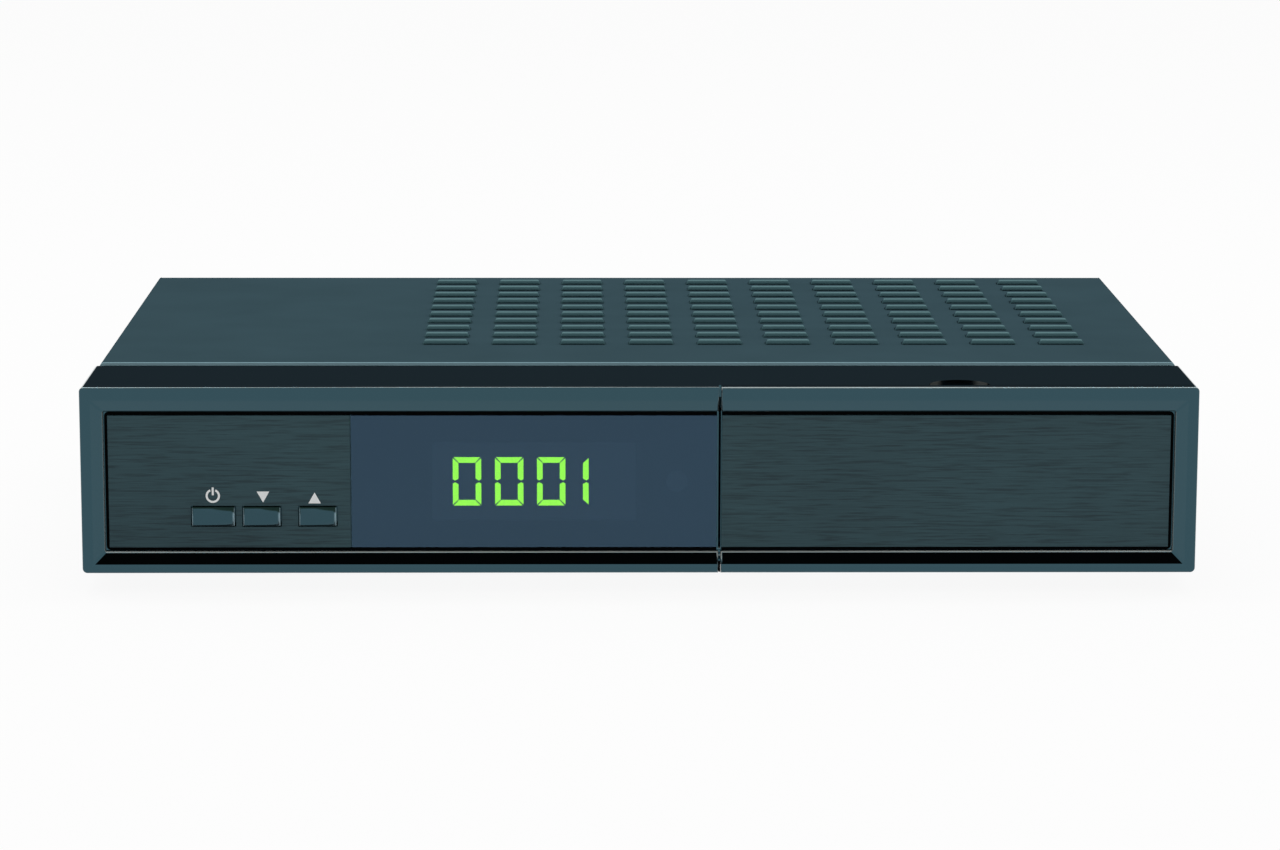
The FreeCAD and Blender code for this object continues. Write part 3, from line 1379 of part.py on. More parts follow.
def make_leads():
    """Leads from the power board, the front board and the card board to the main board, and the mains leads."""
    plug_top = board_top + s.header_height
    roof = plug_top + s.lead_rise
    spread = s.header_width / 4
    row = main_front + s.lead_row
    start_x = power_right - s.lead_inset
    end_x = main_left + s.lead_inset
    items = [header("power_plug_a", start_x, row), header("power_plug_b", end_x, row)]
    items[0:0] = [lead("power_wire", [(start_x, row, plug_top), (start_x, row, roof), (end_x, row, roof),
                                      (end_x, row, plug_top)])]
    keep(group("power_lead_set", *items), "power_lead")
    x = main_left + s.front_lead_place
    z = (front_board_low + front_board_high) / 2 + s.front_lead_rise
    out = front_board_back + s.header_height
    plug = box("front_plug_a", (x - s.header_width / 2, x + s.header_width / 2), (front_board_back, out),
               (z - s.header_depth / 2, z + s.header_depth / 2))
    wires = [lead(f"front_wire_{index}", [(x + side, out, z), (x + side, row, z), (x + side, row, plug_top)])
             for index, side in enumerate((-spread, spread))]
    keep(group("front_lead_set", plug, header("front_plug_b", x, row), *wires), "front_lead")
    card_row = card_back - s.header_depth
    wires = [lead(f"card_wire_{index}", [(data_x + side, card_row, plug_top), (data_x + side, card_row, roof),
                                         (data_x + side, row, roof), (data_x + side, row, plug_top)])
             for index, side in enumerate((-spread, spread))]
    keep(group("card_lead_set", header("card_plug_a", data_x, card_row), header("card_plug_b", data_x, row),
               *wires),
         "card_lead")
    items = []
    for name, x, start in (("inlet", inlet_x, panel_outer - s.inlet_depth),
                           ("switch", rocker_x, panel_outer - s.rocker_body_depth)):
        end = start - s.lead_bend - s.mains_lead_run
        items.append(header(f"{name}_plug", x, end))
        for index, side in enumerate((-spread, spread)):
            items.append(lead(f"{name}_wire_{index}", [(x + side, start, mains_z), (x + side, end, mains_z),
                                                       (x + side, end, plug_top)]))
    keep(group("mains_lead_set", *items), "mains_leads")


def check_cuts():
    """Every feature that takes material away has to leave less than it found."""
    for item in document.Objects:
        if item.TypeId in ("PartDesign::Pocket", "PartDesign::SubtractiveLoft"):
            before = item.BaseFeature.Shape.Volume
            if item.Shape.Volume >= before - 1e-6:
                raise RuntimeError(f"{item.Name} cuts nothing")


def check_document():
    """No object may be left failed, and every sub-part has a whole, valid shape."""
    for item in document.Objects:
        if "Invalid" in item.State or "Error" in item.State:
            raise RuntimeError(f"{item.Name} failed: {item.State}")
    for item in PARTS:
        if item.Shape.isNull() or not item.Shape.isValid() or not item.Shape.Solids:
            raise RuntimeError(f"{item.Label} has no valid shape")


make_chassis()
make_bezel()
make_door()
make_inlays()
make_keys()
make_front_board()
make_feet()
make_screws()
make_rear_panel()
make_boards()
make_tuner()
make_sockets()
make_mains()
make_card_reader()
make_main_parts()
make_power_parts()
make_leads()
make_cover()
document.recompute()
check_document()
check_cuts()

os.makedirs("parts", exist_ok=True)
for item in PARTS:
    item.Shape.exportStep(f"parts/{item.Label}.step")
print(f"{len(PARTS)} sub-parts written")
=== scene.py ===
# %% [markdown]
# # A satellite television receiver
#
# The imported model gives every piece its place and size. This notebook gives the pieces their looks: soft
# edges, lit digits, pressed louvres, turned sockets, and a finish for each material. It is read from top
# to bottom. Each step says what the piece is on the real object and why it is made the way it is.

# %% Load the frame
import json
import math

import bmesh
import bpy
from mathutils import Matrix, Vector
from mathutils.bvhtree import BVHTree


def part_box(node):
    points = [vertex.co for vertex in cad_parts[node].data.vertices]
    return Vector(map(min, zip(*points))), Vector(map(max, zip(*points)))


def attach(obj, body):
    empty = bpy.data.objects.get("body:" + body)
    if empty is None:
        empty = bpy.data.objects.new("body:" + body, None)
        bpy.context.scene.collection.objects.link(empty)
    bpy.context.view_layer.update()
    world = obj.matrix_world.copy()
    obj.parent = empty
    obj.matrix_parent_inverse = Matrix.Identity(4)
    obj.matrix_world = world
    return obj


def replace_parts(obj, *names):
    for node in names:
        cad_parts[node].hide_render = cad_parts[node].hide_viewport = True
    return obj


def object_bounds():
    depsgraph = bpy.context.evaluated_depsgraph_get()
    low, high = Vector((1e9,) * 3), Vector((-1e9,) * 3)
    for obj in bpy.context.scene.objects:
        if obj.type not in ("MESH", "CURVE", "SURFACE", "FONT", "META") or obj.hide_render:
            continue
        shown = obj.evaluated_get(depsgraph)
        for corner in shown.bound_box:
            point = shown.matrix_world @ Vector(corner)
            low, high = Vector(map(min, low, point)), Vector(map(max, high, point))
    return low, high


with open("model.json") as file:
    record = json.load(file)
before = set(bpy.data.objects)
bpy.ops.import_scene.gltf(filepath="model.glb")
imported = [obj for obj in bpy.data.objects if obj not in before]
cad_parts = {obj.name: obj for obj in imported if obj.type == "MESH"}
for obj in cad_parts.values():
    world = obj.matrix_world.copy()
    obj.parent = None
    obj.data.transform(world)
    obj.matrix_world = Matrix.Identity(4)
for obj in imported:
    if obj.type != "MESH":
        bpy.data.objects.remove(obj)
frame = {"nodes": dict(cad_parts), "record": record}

cad_low, cad_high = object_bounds()
scene = bpy.context.scene
scene.view_settings.view_transform = "Standard"
nodes = frame["nodes"]
MM = 0.001
body_of_node = {node: body for body,
                members in frame["record"]["behaviour"]["bodies"].items() for node in members}
slot_of_node = {part["node"]: part["material_slot"] for part in frame["record"]["subparts"]}

# %% [markdown]
# ## The camera
#
# The receiver is seen from the front, a little from above, through a long lens. The camera's turn is
# written as three angles, and its axes are worked out from them, so that the view needs no helper that
# looks at the image size.

# %% Set the camera
CAMERA_PLACE = Vector((-16.18, -1110.68, 227.27)) * MM
CAMERA_PITCH = math.radians(10.32)
CAMERA_YAW = -0.0159
CAMERA_ROLL = 0.0025
LENS = 115.8


def camera_axes(pitch, yaw, roll):
    """Right, up and backward axes of a camera that looks along +Y, turned by three angles."""
    right = Vector((math.cos(yaw), math.sin(yaw), 0))
    ahead = Vector((-math.sin(yaw) * math.cos(pitch), math.cos(yaw) * math.cos(pitch), -math.sin(pitch)))
    up = right.cross(ahead)
    rolled_right = right * math.cos(roll) + up * math.sin(roll)
    rolled_up = up * math.cos(roll) - right * math.sin(roll)
    return rolled_right, rolled_up, -ahead


camera = bpy.data.objects.new("camera", bpy.data.cameras.new("camera"))
scene.collection.objects.link(camera)
camera.data.lens = LENS
camera.data.sensor_width = 36.0
camera.data.sensor_fit = "HORIZONTAL"
camera.data.clip_start = 0.05
camera.data.clip_end = 100.0
axes = Matrix([list(axis) for axis in camera_axes(CAMERA_PITCH, CAMERA_YAW, CAMERA_ROLL)]).transposed()
camera.matrix_world = Matrix.Translation(CAMERA_PLACE) @ axes.to_4x4()
scene.camera = camera
print("camera axes orthogonal within", abs(axes.col[0].dot(axes.col[1])))

# %% [markdown]
# ## Shader arithmetic
#
# A material is a small sum: a noise times a number, plus a colour. Wiring that by hand hides the sum, so
# one class wraps a socket and lets Python's own operators add the Math nodes. Every other node comes from
# one method.


# %% A socket that can be added and multiplied
class Wire:
    """One output of a shader node, which Python's operators can work on."""

    def __init__(self, finish, socket):
        self.finish = finish
        self.socket = socket

    def _calculate(self, operation, first, second):
        return self.finish.node("ShaderNodeMath", {"operation": operation}, {0: first, 1: second})

    def __add__(self, other):
        return self._calculate("ADD", self, other)

    __radd__ = __add__

    def __sub__(self, other):
        return self._calculate("SUBTRACT", self, other)

    def __rsub__(self, other):
        return self._calculate("SUBTRACT", other, self)

    def __mul__(self, other):
        return self._calculate("MULTIPLY", self, other)

    __rmul__ = __mul__


# %% A material's node tree
class Finish:
    """A node tree that is being written."""

    def __init__(self, tree):
        self.tree = tree
        self.tree.nodes.clear()

    def node(self, kind, settings=None, inputs=None, output=0):
        """Add a node, set it up, give its sockets values or links, and return one of its outputs."""
        made = self.tree.nodes.new(kind)
        for name, value in (settings or {}).items():
            if name == "stops":
                while len(made.color_ramp.elements) < len(value):
                    made.color_ramp.elements.new(0.5)
                for element, (position, colour) in zip(made.color_ramp.elements, value):
                    element.position = position
                    element.color = (*colour, 1.0)
            else:
                setattr(made, name, value)
        for name, value in (inputs or {}).items():
            socket = made.inputs[name]
            if isinstance(value, Wire):
                self.tree.links.new(value.socket, socket)
            else:
                socket.default_value = value
        return Wire(self, made.outputs[output]) if len(made.outputs) else None


def screen(red, green, blue):
    """A colour as a screen shows it, from 0 to 255, as the linear colour that shaders use."""
    return tuple((value / 255 / 12.92) if value < 11 else ((value / 255 + 0.055) / 1.055) ** 2.4
                 for value in (red, green, blue))


def blend_colours(finish, factor, first, second):
    """Mix two colours by a factor that varies over the surface."""
    def with_alpha(colour):
        return colour if isinstance(colour, Wire) else (*colour, 1.0)
    return finish.node("ShaderNodeMix", {"data_type": "RGBA"},
                       {"Factor": factor, 6: with_alpha(first), 7: with_alpha(second)}, output=2)


def ease(finish, value, low, high):
    """Rise softly from 0 to 1 while a value goes from low to high."""
    return finish.node("ShaderNodeMapRange", {"interpolation_type": "SMOOTHSTEP"},
                       {"Value": value, "From Min": low, "From Max": high})


# %% Read where a point lies and how it faces
# Outputs of the Texture Coordinate node, and the axes of a vector.
FACING, PLACE = 1, 3
AXIS_X, AXIS_Y, AXIS_Z = 0, 1, 2


def along_axis(finish, coordinate, axis):
    """How far a point lies, or how much its surface faces, along one axis of the piece."""
    vector = finish.node("ShaderNodeTexCoord", output=coordinate)
    return finish.node("ShaderNodeSeparateXYZ", {}, {0: vector}, output=axis)


def between(finish, value, rise, fall):
    """1 between two thresholds; each is a pair of numbers over which the value eases in or out."""
    return ease(finish, value, *rise) * (1 - ease(finish, value, *fall))


# %% [markdown]
# ## A general finish
#
# Moulded plastic, coated steel, rubber and plated metal differ in colour, gloss and grain, but share one
# build: a broad noise shifts the colour and the gloss, a fine noise lifts the surface. All of it reads
# Object coordinates, so the grain stays put when a piece moves. Painted light, a paler colour that stands
# for a highlight or for light a face lacks, is placed by where a point lies or by the way it faces.

# %% Write the general finish
def object_noise(finish, scale, stretch=(1, 1, 1), detail=2.0, roughness=0.5):
    """Noise in the object's own space; the stretch makes streaks."""
    place = finish.node("ShaderNodeTexCoord", output=PLACE)
    place = finish.node("ShaderNodeMapping", {"vector_type": "POINT"}, {"Vector": place, "Scale": stretch})
    return finish.node("ShaderNodeTexNoise", {}, {"Vector": place, "Scale": scale, "Detail": detail,
                                                 "Roughness": roughness})


def make_finish(name, colour, spread=0.15, mottle=90.0, roughness=0.45, gloss_spread=0.12, grain=2500.0,
                lift=0.0,
                metallic=0.0, stretch=(1, 1, 1), ior=1.5, tint=(1, 1, 1), level=0.5, coat=0.0, alpha=1.0,
                painted_light=()):
    """A material with a mottled colour, a varied gloss, a fine grain and, where asked, places of painted
    light.
    """
    material = bpy.data.materials.new(name)
    material.use_nodes = True
    finish = Finish(material.node_tree)
    broad = object_noise(finish, mottle, stretch)
    fine = object_noise(finish, grain, stretch)
    dark = tuple(value * (1 - spread) for value in colour)
    light = tuple(value * (1 + spread) for value in colour)
    base = blend_colours(finish, broad, dark, light)
    # Painted light: each entry paints a paler colour where a point lies, or faces, past a threshold.
    for coordinate, axis, start, end, painted_light_colour in painted_light:
        painted_light_mask = ease(finish, along_axis(finish, coordinate, axis), start, end)
        base = blend_colours(finish, painted_light_mask, base, painted_light_colour)
    inputs = {
        "Base Color": base,
        "Roughness": broad * gloss_spread + (roughness - gloss_spread / 2),
        "Metallic": metallic,
        "IOR": ior,
        "Specular IOR Level": level,
        "Specular Tint": (*tint, 1.0),
        "Coat Weight": coat,
        "Alpha": alpha,
    }
    if lift:
        inputs["Normal"] = finish.node("ShaderNodeBump", {},
                                       {"Height": fine, "Distance": lift * MM, "Strength": 1.0})
    shader = finish.node("ShaderNodeBsdfPrincipled", {}, inputs)
    finish.node("ShaderNodeOutputMaterial", {}, {"Surface": shader})
    return material


# %% [markdown]
# ### Finishes of the outside
#
# The cover's cut front edge and the crests of its louvres are painted paler: a painted highlight where
# their rounded edges catch the light. The front of each louvre is painted paler too, as painted light,
# because it stands upright on a sheet that lies flat and gets less light.

# %% Mix the finishes of the outside
cover_low, cover_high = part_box("top_cover")
SHEET_COLOUR = screen(59, 81, 89)
# The pale band along the front edge is a painted highlight.
cover_coat = make_finish("cover_coat", SHEET_COLOUR, spread=0.10, mottle=45.0, roughness=0.62,
                         gloss_spread=0.10, grain=2600.0, lift=0.03, level=0.0,
                         painted_light=[(PLACE, AXIS_Y, cover_low.y + 0.8 * MM, cover_low.y + 0.5 * MM,
                                screen(146, 180, 190))])
crest_top = cover_high.z
# Painted light on the louvres: paler fronts make up for the light they lack, paler crests are a painted
# highlight.
louvre_coat = make_finish("louvre_coat", SHEET_COLOUR, spread=0.08, mottle=45.0, roughness=0.62,
                          gloss_spread=0.10, grain=2600.0, lift=0.03, level=0.0,
                          painted_light=[(FACING, AXIS_Y, -0.3, -0.7, screen(90, 124, 129)),
                                (PLACE, AXIS_Z, crest_top - 0.3 * MM, crest_top - 0.08 * MM,
                                 screen(104, 136, 140))])
panel_coat = make_finish("panel_coat", screen(44, 58, 64), spread=0.12, mottle=60.0, roughness=0.58,
                         grain=2600.0, lift=0.03, level=0.3)
zinc_sheet = make_finish("zinc_sheet", (0.52, 0.54, 0.55), spread=0.16, mottle=180.0, roughness=0.36,
                         gloss_spread=0.16, metallic=1.0, grain=900.0, lift=0.006)
soft_rubber = make_finish("soft_rubber", screen(38, 40, 42), spread=0.2, roughness=0.8, grain=1800.0,
                          lift=0.03, level=0.3)
moulded_black = make_finish("moulded_black", screen(33, 36, 39), spread=0.2, roughness=0.5, grain=3000.0,
                            lift=0.012)
nickel_plate = make_finish("nickel_plate", (0.70, 0.68, 0.63), spread=0.08, mottle=300.0, roughness=0.2,
                           gloss_spread=0.1, metallic=1.0, grain=1500.0, lift=0.004)
tinned_shell = make_finish("tinned_shell", (0.62, 0.63, 0.63), spread=0.1, mottle=160.0, roughness=0.32,
                           gloss_spread=0.18, metallic=1.0, grain=700.0, lift=0.006)
dark_screw = make_finish("dark_screw", screen(54, 58, 61), spread=0.2, mottle=400.0, roughness=0.4,
                         metallic=0.8, grain=1500.0, lift=0.006)
print("finishes so far:", len(bpy.data.materials))

# %% [markdown]
# ## Gloss moulding
#
# The front, the flap and the keys are polished black plastic, so their colour is mostly what they
# reflect, with a blue-green cast. Faces that look up carry a fine matt texture instead, so that they
# don't mirror the ceiling, and their dark matt colours are painted shade that stands for the dark
# reflection of what hangs above: the two looks are mixed by how far a face leans upwards. The rounded
# edges between them are painted paler, a painted highlight which draws the thin bright lines along
# the front.

# %% Write the gloss finish
# The cast of what the plastic reflects.
REFLECTED = (0.36, 0.80, 1.0)


def make_gloss(name, body_colour, roughness, level, highlight_colour, matt_shade_colours, end_highlight_share=0.25,
               matt_above=None):
    """Polished plastic with matt faces on top, painted dark as painted shade, and painted highlights on the
    edges between them.
    """
    material = bpy.data.materials.new(name)
    material.use_nodes = True
    finish = Finish(material.node_tree)
    ripple = object_noise(finish, 60.0)
    grain = object_noise(finish, 2400.0)
    dark = tuple(value * 0.7 for value in body_colour)
    lean = along_axis(finish, FACING, AXIS_Z)
    sideways = along_axis(finish, FACING, AXIS_X)
    turned = sideways * sideways
    # Painted highlight: a pale colour on the rounded edges between front and top, and on rounded ends.
    edge_highlight_mask = between(finish, lean, (0.56, 0.66), (0.9, 0.97))
    end_highlight_mask = between(finish, turned, (0.2, 0.5), (0.8, 0.95))
    painted_highlight_mask = edge_highlight_mask + end_highlight_mask * end_highlight_share
    body = blend_colours(finish, ripple, dark, body_colour)
    polished = finish.node("ShaderNodeBsdfPrincipled", {}, {
        "Base Color": blend_colours(finish, painted_highlight_mask, body, highlight_colour),
        "Roughness": ripple * 0.04 + roughness,
        "IOR": 1.6,
        "Specular IOR Level": level,
        "Specular Tint": (*REFLECTED, 1.0),
        "Normal": finish.node("ShaderNodeBump", {},
                              {"Height": ripple, "Distance": 0.01 * MM, "Strength": 1.0}),
    })
    # Painted shade: faces that look up get dark matt colours that stand for the dark reflection of what
    # hangs above, darkest where a face leans halfway.
    matt_shade_colour = blend_colours(finish, ease(finish, lean, 0.6, 0.9), *matt_shade_colours)
    matt = finish.node("ShaderNodeBsdfPrincipled", {}, {
        "Base Color": blend_colours(finish, grain * 0.16, matt_shade_colour, screen(10, 14, 16)),
        "Roughness": grain * 0.1 + 0.6,
        "Specular IOR Level": 0.0,
    })
    flat_up = ease(finish, lean, 0.93, 0.99)
    leaning = between(finish, lean, (0.44, 0.49), (0.51, 0.56))
    share = flat_up + leaning
    if matt_above is not None:
        share = ease(finish, lean, matt_above, matt_above + 0.15)
    mixed = finish.node("ShaderNodeMixShader", {}, {0: share, 1: polished, 2: matt})
    finish.node("ShaderNodeOutputMaterial", {}, {"Surface": mixed})
    return material


# The pale colour paints highlights on rounded edges; the two matt colours are painted shade for the dark
# reflection on faces that look up, the darker one on the low bevel.
gloss_moulding = make_gloss("gloss_moulding", screen(12, 15, 17), 0.05, 0.92, screen(180, 186, 182),
                            (screen(4, 6, 7), screen(30, 41, 47)))
# Keys: the pale colour paints highlights on their edges and ends; KEY_TOP is painted reflection on their
# faces that look up.
KEY_TOP = screen(40, 62, 58)
key_gloss = make_gloss("key_gloss", screen(16, 22, 25), 0.09, 0.8, screen(150, 172, 180),
                       (KEY_TOP, KEY_TOP), end_highlight_share=1.0, matt_above=0.25)
print("polished finishes:", gloss_moulding.name, key_gloss.name)

# %% [markdown]
# ## Brushed plates
#
# The two plates are drawn under an abrasive belt, so their scratches are long, thin and all lie along the
# front. Two noises stand for them: one stretched about eighty to one along X for the fine lines, and one
# stretched twenty to one for the darker dashes where the belt skipped. They shift the colour, the gloss
# and the height of the surface together, as real scratches do.


# %% Write the brushed finish
def make_brushed(name, dark, light):
    """Anodised sheet brushed along X."""
    material = bpy.data.materials.new(name)
    material.use_nodes = True
    finish = Finish(material.node_tree)
    lines = object_noise(finish, 4200.0, (0.012, 0.3, 1.0), detail=3.0, roughness=0.7)
    dashes = object_noise(finish, 1900.0, (0.05, 0.3, 1.0), detail=2.0, roughness=0.6)
    cloudy = object_noise(finish, 35.0)
    skipped = finish.node("ShaderNodeValToRGB", {"stops": [(0.34, (0, 0, 0)), (0.52, (1, 1, 1))]},
                          {"Fac": dashes})
    tone = finish.node("ShaderNodeValToRGB", {"stops": [(0.2, (0, 0, 0)), (0.8, (1, 1, 1))]},
                       {"Fac": lines * 0.7 + cloudy * 0.3})
    streaks = tone * 0.68 + skipped * 0.32
    height = finish.node("ShaderNodeBump", {}, {"Height": streaks, "Distance": 0.012 * MM, "Strength": 1.0})
    shader = finish.node("ShaderNodeBsdfPrincipled", {}, {
        "Base Color": blend_colours(finish, streaks, dark, light),
        "Roughness": streaks * 0.12 + 0.40,
        "Specular IOR Level": 0.2,
        "Normal": height,
    })
    finish.node("ShaderNodeOutputMaterial", {}, {"Surface": shader})
    return material


brushed_plate = make_brushed("brushed_plate", screen(20, 34, 40), screen(57, 86, 93))
print("brushed finish:", brushed_plate.name)

# %% [markdown]
# ## Smoked window and lit segments
#
# The window is one dark, see-through sheet, and the digits stand behind it on the display module. Each of
# its two faces lets about a quarter of the light through, so the segments are lit stronger than they
# look.

# %% Write the window and light finishes
smoked_window = make_finish("smoked_window", screen(25, 36, 56), spread=0.06, mottle=20.0, roughness=0.16,
                            gloss_spread=0.04, grain=40.0, lift=0.004, ior=1.6, level=1.0,
                            tint=(0.37, 0.70, 1.0), alpha=0.72)


def make_lit(name, colour, strength):
    """A light whose brightness varies a little in patches over its diffuser."""
    material = bpy.data.materials.new(name)
    material.use_nodes = True
    finish = Finish(material.node_tree)
    patch = object_noise(finish, 700.0)
    dim = tuple(value * 0.92 for value in colour)
    shader = finish.node("ShaderNodeBsdfPrincipled", {}, {
        "Base Color": (*screen(30, 60, 20), 1.0),
        "Roughness": 0.5,
        "Emission Color": blend_colours(finish, patch, dim, colour),
        "Emission Strength": strength,
    })
    finish.node("ShaderNodeOutputMaterial", {}, {"Surface": shader})
    return material


lit_green = make_lit("lit_green", screen(151, 255, 22), 11.8)
white_print = make_finish("white_print", (0.86, 0.88, 0.88), spread=0.03, roughness=0.55, level=0.3)

# %% [markdown]
# ### Finishes of the inside and the rear
#
# These pieces show through the vents, with the flap open or from behind. Each takes the general finish
# with its own colour, gloss and grain, so a table says all that differs. The last cell gives every packed
# piece its finish.

# %% Mix the finishes of the inside and the rear
INSIDE = {
    "board_green": dict(colour=screen(22, 92, 58), spread=0.25, mottle=240.0, roughness=0.35, coat=0.2),
    "display_dark": dict(colour=screen(18, 22, 26), roughness=0.4),
    "switch_white": dict(colour=screen(205, 203, 192), spread=0.06, roughness=0.5),
    "capacitor_sleeve": dict(colour=screen(34, 40, 72), roughness=0.28),
    "sink_aluminium": dict(colour=(0.55, 0.56, 0.58), roughness=0.34, metallic=1.0, stretch=(0.05, 1, 1),
                           lift=0.01),
    "ferrite": dict(colour=screen(62, 62, 64), roughness=0.7, lift=0.02),
    "winding_tape": dict(colour=screen(214, 170, 44), spread=0.1, roughness=0.4),
    "chip_black": dict(colour=screen(40, 41, 43), roughness=0.6, lift=0.01),
    "film_clear": dict(colour=screen(196, 200, 192), spread=0.05, roughness=0.35),
    "lead_black": dict(colour=screen(34, 34, 37), roughness=0.45),
    "fuse_glass": dict(colour=(0.7, 0.75, 0.75), spread=0.05, roughness=0.1, alpha=0.5),
}
finishes = {name: make_finish(name, **look) for name, look in INSIDE.items()}
finishes.update({
    "black_steel": cover_coat,
    "bare_steel": zinc_sheet,
    "gloss_black": gloss_moulding,
    "brushed_black": brushed_plate,
    "smoked_window": smoked_window,
    "key_black": key_gloss,
    "black_plastic": moulded_black,
    "rubber_black": soft_rubber,
    "nickel": nickel_plate,
    "tin_shell": tinned_shell,
    "screw_steel": dark_screw,
})

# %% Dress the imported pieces
for node, obj in nodes.items():
    obj.data.materials.clear()
    obj.data.materials.append(finishes[slot_of_node[node]])
print("finishes in all:", len(bpy.data.materials))

# %% [markdown]
# ## Soft edges
#
# No moulding or folded sheet has a knife edge: a small round on each edge is what catches the light. The
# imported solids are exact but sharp, so a visible piece is a copy of its solid, merged, freed of the lines
# between flat triangles, and given a Bevel modifier that works where two faces meet at an angle. On the
# two mouldings and the keys, only the edges near the front are marked for it, because their small hidden
# edges can't take so wide a round.


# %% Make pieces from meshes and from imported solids
SAME_POINT = 0.001 * MM
SHARP = math.radians(28)
FACE_SKIN = 0.3 * MM
LONG_EDGE = 20 * MM


def add_piece(name, mesh, finish, body):
    """Put a mesh in the scene as a piece of the object."""
    mesh.materials.clear()
    mesh.materials.append(finish)
    obj = bpy.data.objects.new(name, mesh)
    scene.collection.objects.link(obj)
    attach(obj, body)
    return obj


def mesh_from(work, name, smooth=True):
    """Turn a finished bmesh into a mesh."""
    for face in work.faces:
        face.smooth = smooth
    mesh = bpy.data.meshes.new(name)
    work.to_mesh(mesh)
    work.free()
    return mesh


def soften(obj, width, segments=2, angle=35, marked=False):
    """Round the marked edges, or every edge where two faces meet at more than an angle."""
    bevel = obj.modifiers.new("soft_edges", "BEVEL")
    bevel.width = width * MM
    bevel.segments = segments
    bevel.limit_method = "WEIGHT" if marked else "ANGLE"
    bevel.angle_limit = math.radians(angle)
    bevel.harden_normals = True
    bevel.use_clamp_overlap = not marked
    return obj


def mark_front_edges(work, reach):
    """Mark the sharp edges of the frame's face, and the long ones that run back from it."""
    weight = work.edges.layers.float.new("bevel_weight_edge")
    face = min(vert.co.y for vert in work.verts)
    for edge in work.edges:
        if len(edge.link_faces) != 2 or edge.calc_face_angle(0.0) < SHARP:
            continue
        depths = sorted(vert.co.y - face for vert in edge.verts)
        runs_back = depths[0] < FACE_SKIN and edge.calc_length() > LONG_EDGE
        if depths[1] < reach or runs_back:
            edge[weight] = 1.0


def softened(node, name, width, segments=2, finish=None, front_reach=0.0):
    """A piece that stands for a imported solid, with all its edges rounded, or only those near its front."""
    work = bmesh.new()
    work.from_mesh(nodes[node].data)
    bmesh.ops.remove_doubles(work, verts=work.verts, dist=SAME_POINT)
    bmesh.ops.dissolve_limit(work, angle_limit=math.radians(0.5), verts=work.verts, edges=work.edges)
    if front_reach:
        mark_front_edges(work, front_reach)
    for edge in work.edges:
        edge.smooth = len(edge.link_faces) == 2 and edge.calc_face_angle(0.0) < SHARP
    slot = slot_of_node[node]
    obj = add_piece(name, mesh_from(work, name), finish or finishes[slot], body_of_node[node])
    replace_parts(obj, node)
    return soften(obj, width, segments, marked=bool(front_reach))


# %% Soften the front, the flap and the plates
FRAME_ROUND, FRAME_REACH = 0.4, 2.6 * MM
KEY_ROUND, KEY_REACH = 0.7, 0.5 * MM
softened("front_bezel", "front_moulding", FRAME_ROUND, 3, front_reach=FRAME_REACH)
softened("front_door", "flap_moulding", FRAME_ROUND, 3, front_reach=FRAME_REACH)
softened("fascia_panel", "left_plate", 0.12)
softened("door_panel", "flap_plate", 0.12)
softened("display_window", "smoked_sheet", 0.12)
for key in ("power", "channel_down", "channel_up"):
    softened(f"{key}_button", f"{key}_cap", KEY_ROUND, 4, front_reach=KEY_REACH)
softened("bottom_chassis", "tray_sheet", 0.15)
softened("rear_panel", "back_sheet", 0.12, finish=panel_coat)

# %% [markdown]
# ## Painted shadow round the plates and in the split
#
# A thin black ring round each plate is painted shadow: it draws the shade in the gap round the plate as
# a dark line. A black strip of the same finish paints the shade in the lower end of the split between the
# moulding and the flap. How deep the ledge under each ring lies is measured on the imported solid with a
# ray, so that the ring sits on it.


# %% Draw a flat shape that faces the front
def front_prism(work, outline, face, depth):
    """Add a flat shape that faces the front, with some depth behind it."""
    ahead = [work.verts.new((x * MM, face, z * MM)) for x, z in outline]
    behind = [work.verts.new((x * MM, face + depth, z * MM)) for x, z in outline]
    count = len(outline)
    work.faces.new(ahead)
    work.faces.new(behind[::-1])
    for index in range(count):
        after = (index + 1) % count
        work.faces.new([ahead[after], ahead[index], behind[index], behind[after]])


# %% Draw a painted shadow ring
SHADOW_RING_WIDTH = 0.85
SHADOW_RING_CORNER = 1.1
SHADOW_RING_PROUD = 0.03 * MM
# Painted shadow: a near-black finish for sheets laid where the gaps show only shade.
bed_foam = make_finish("bed_foam", screen(3, 4, 5), spread=0.3, mottle=900.0, roughness=0.9, grain=3000.0,
                       lift=0.01, level=0.05)


def front_depth(node, x, z):
    """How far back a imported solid's front lies at one place."""
    solid = bmesh.new()
    solid.from_mesh(nodes[node].data)
    place = BVHTree.FromBMesh(solid).ray_cast(Vector((x, -1.0, z)), Vector((0, 1, 0)))[0]
    solid.free()
    return place.y


def quarter(centre_x, centre_z, radius, start):
    """Points of a quarter circle, anticlockwise from a starting angle."""
    return [(centre_x + radius * math.cos(turn), centre_z + radius * math.sin(turn))
            for turn in (start + math.pi / 2 * step / 5 for step in range(6))]


def shadow_ring_outline(closed_x, open_x, low_z, high_z):
    """A U-shaped band round a plate, open towards the split; in millimetres, seen from the front."""
    side = 1 if open_x > closed_x else -1
    outer_x = closed_x - side * SHADOW_RING_WIDTH
    centre_x = outer_x + side * SHADOW_RING_CORNER
    low_bend = quarter(0, low_z - SHADOW_RING_WIDTH + SHADOW_RING_CORNER, SHADOW_RING_CORNER, math.pi)
    high_bend = quarter(0, high_z + SHADOW_RING_WIDTH - SHADOW_RING_CORNER, SHADOW_RING_CORNER, math.pi / 2)
    bends = [(centre_x + side * x, z) for x, z in high_bend + low_bend]
    inside = [(open_x, low_z), (closed_x, low_z), (closed_x, high_z), (open_x, high_z)]
    return [(open_x, high_z + SHADOW_RING_WIDTH)] + bends + [(open_x, low_z - SHADOW_RING_WIDTH)] + inside


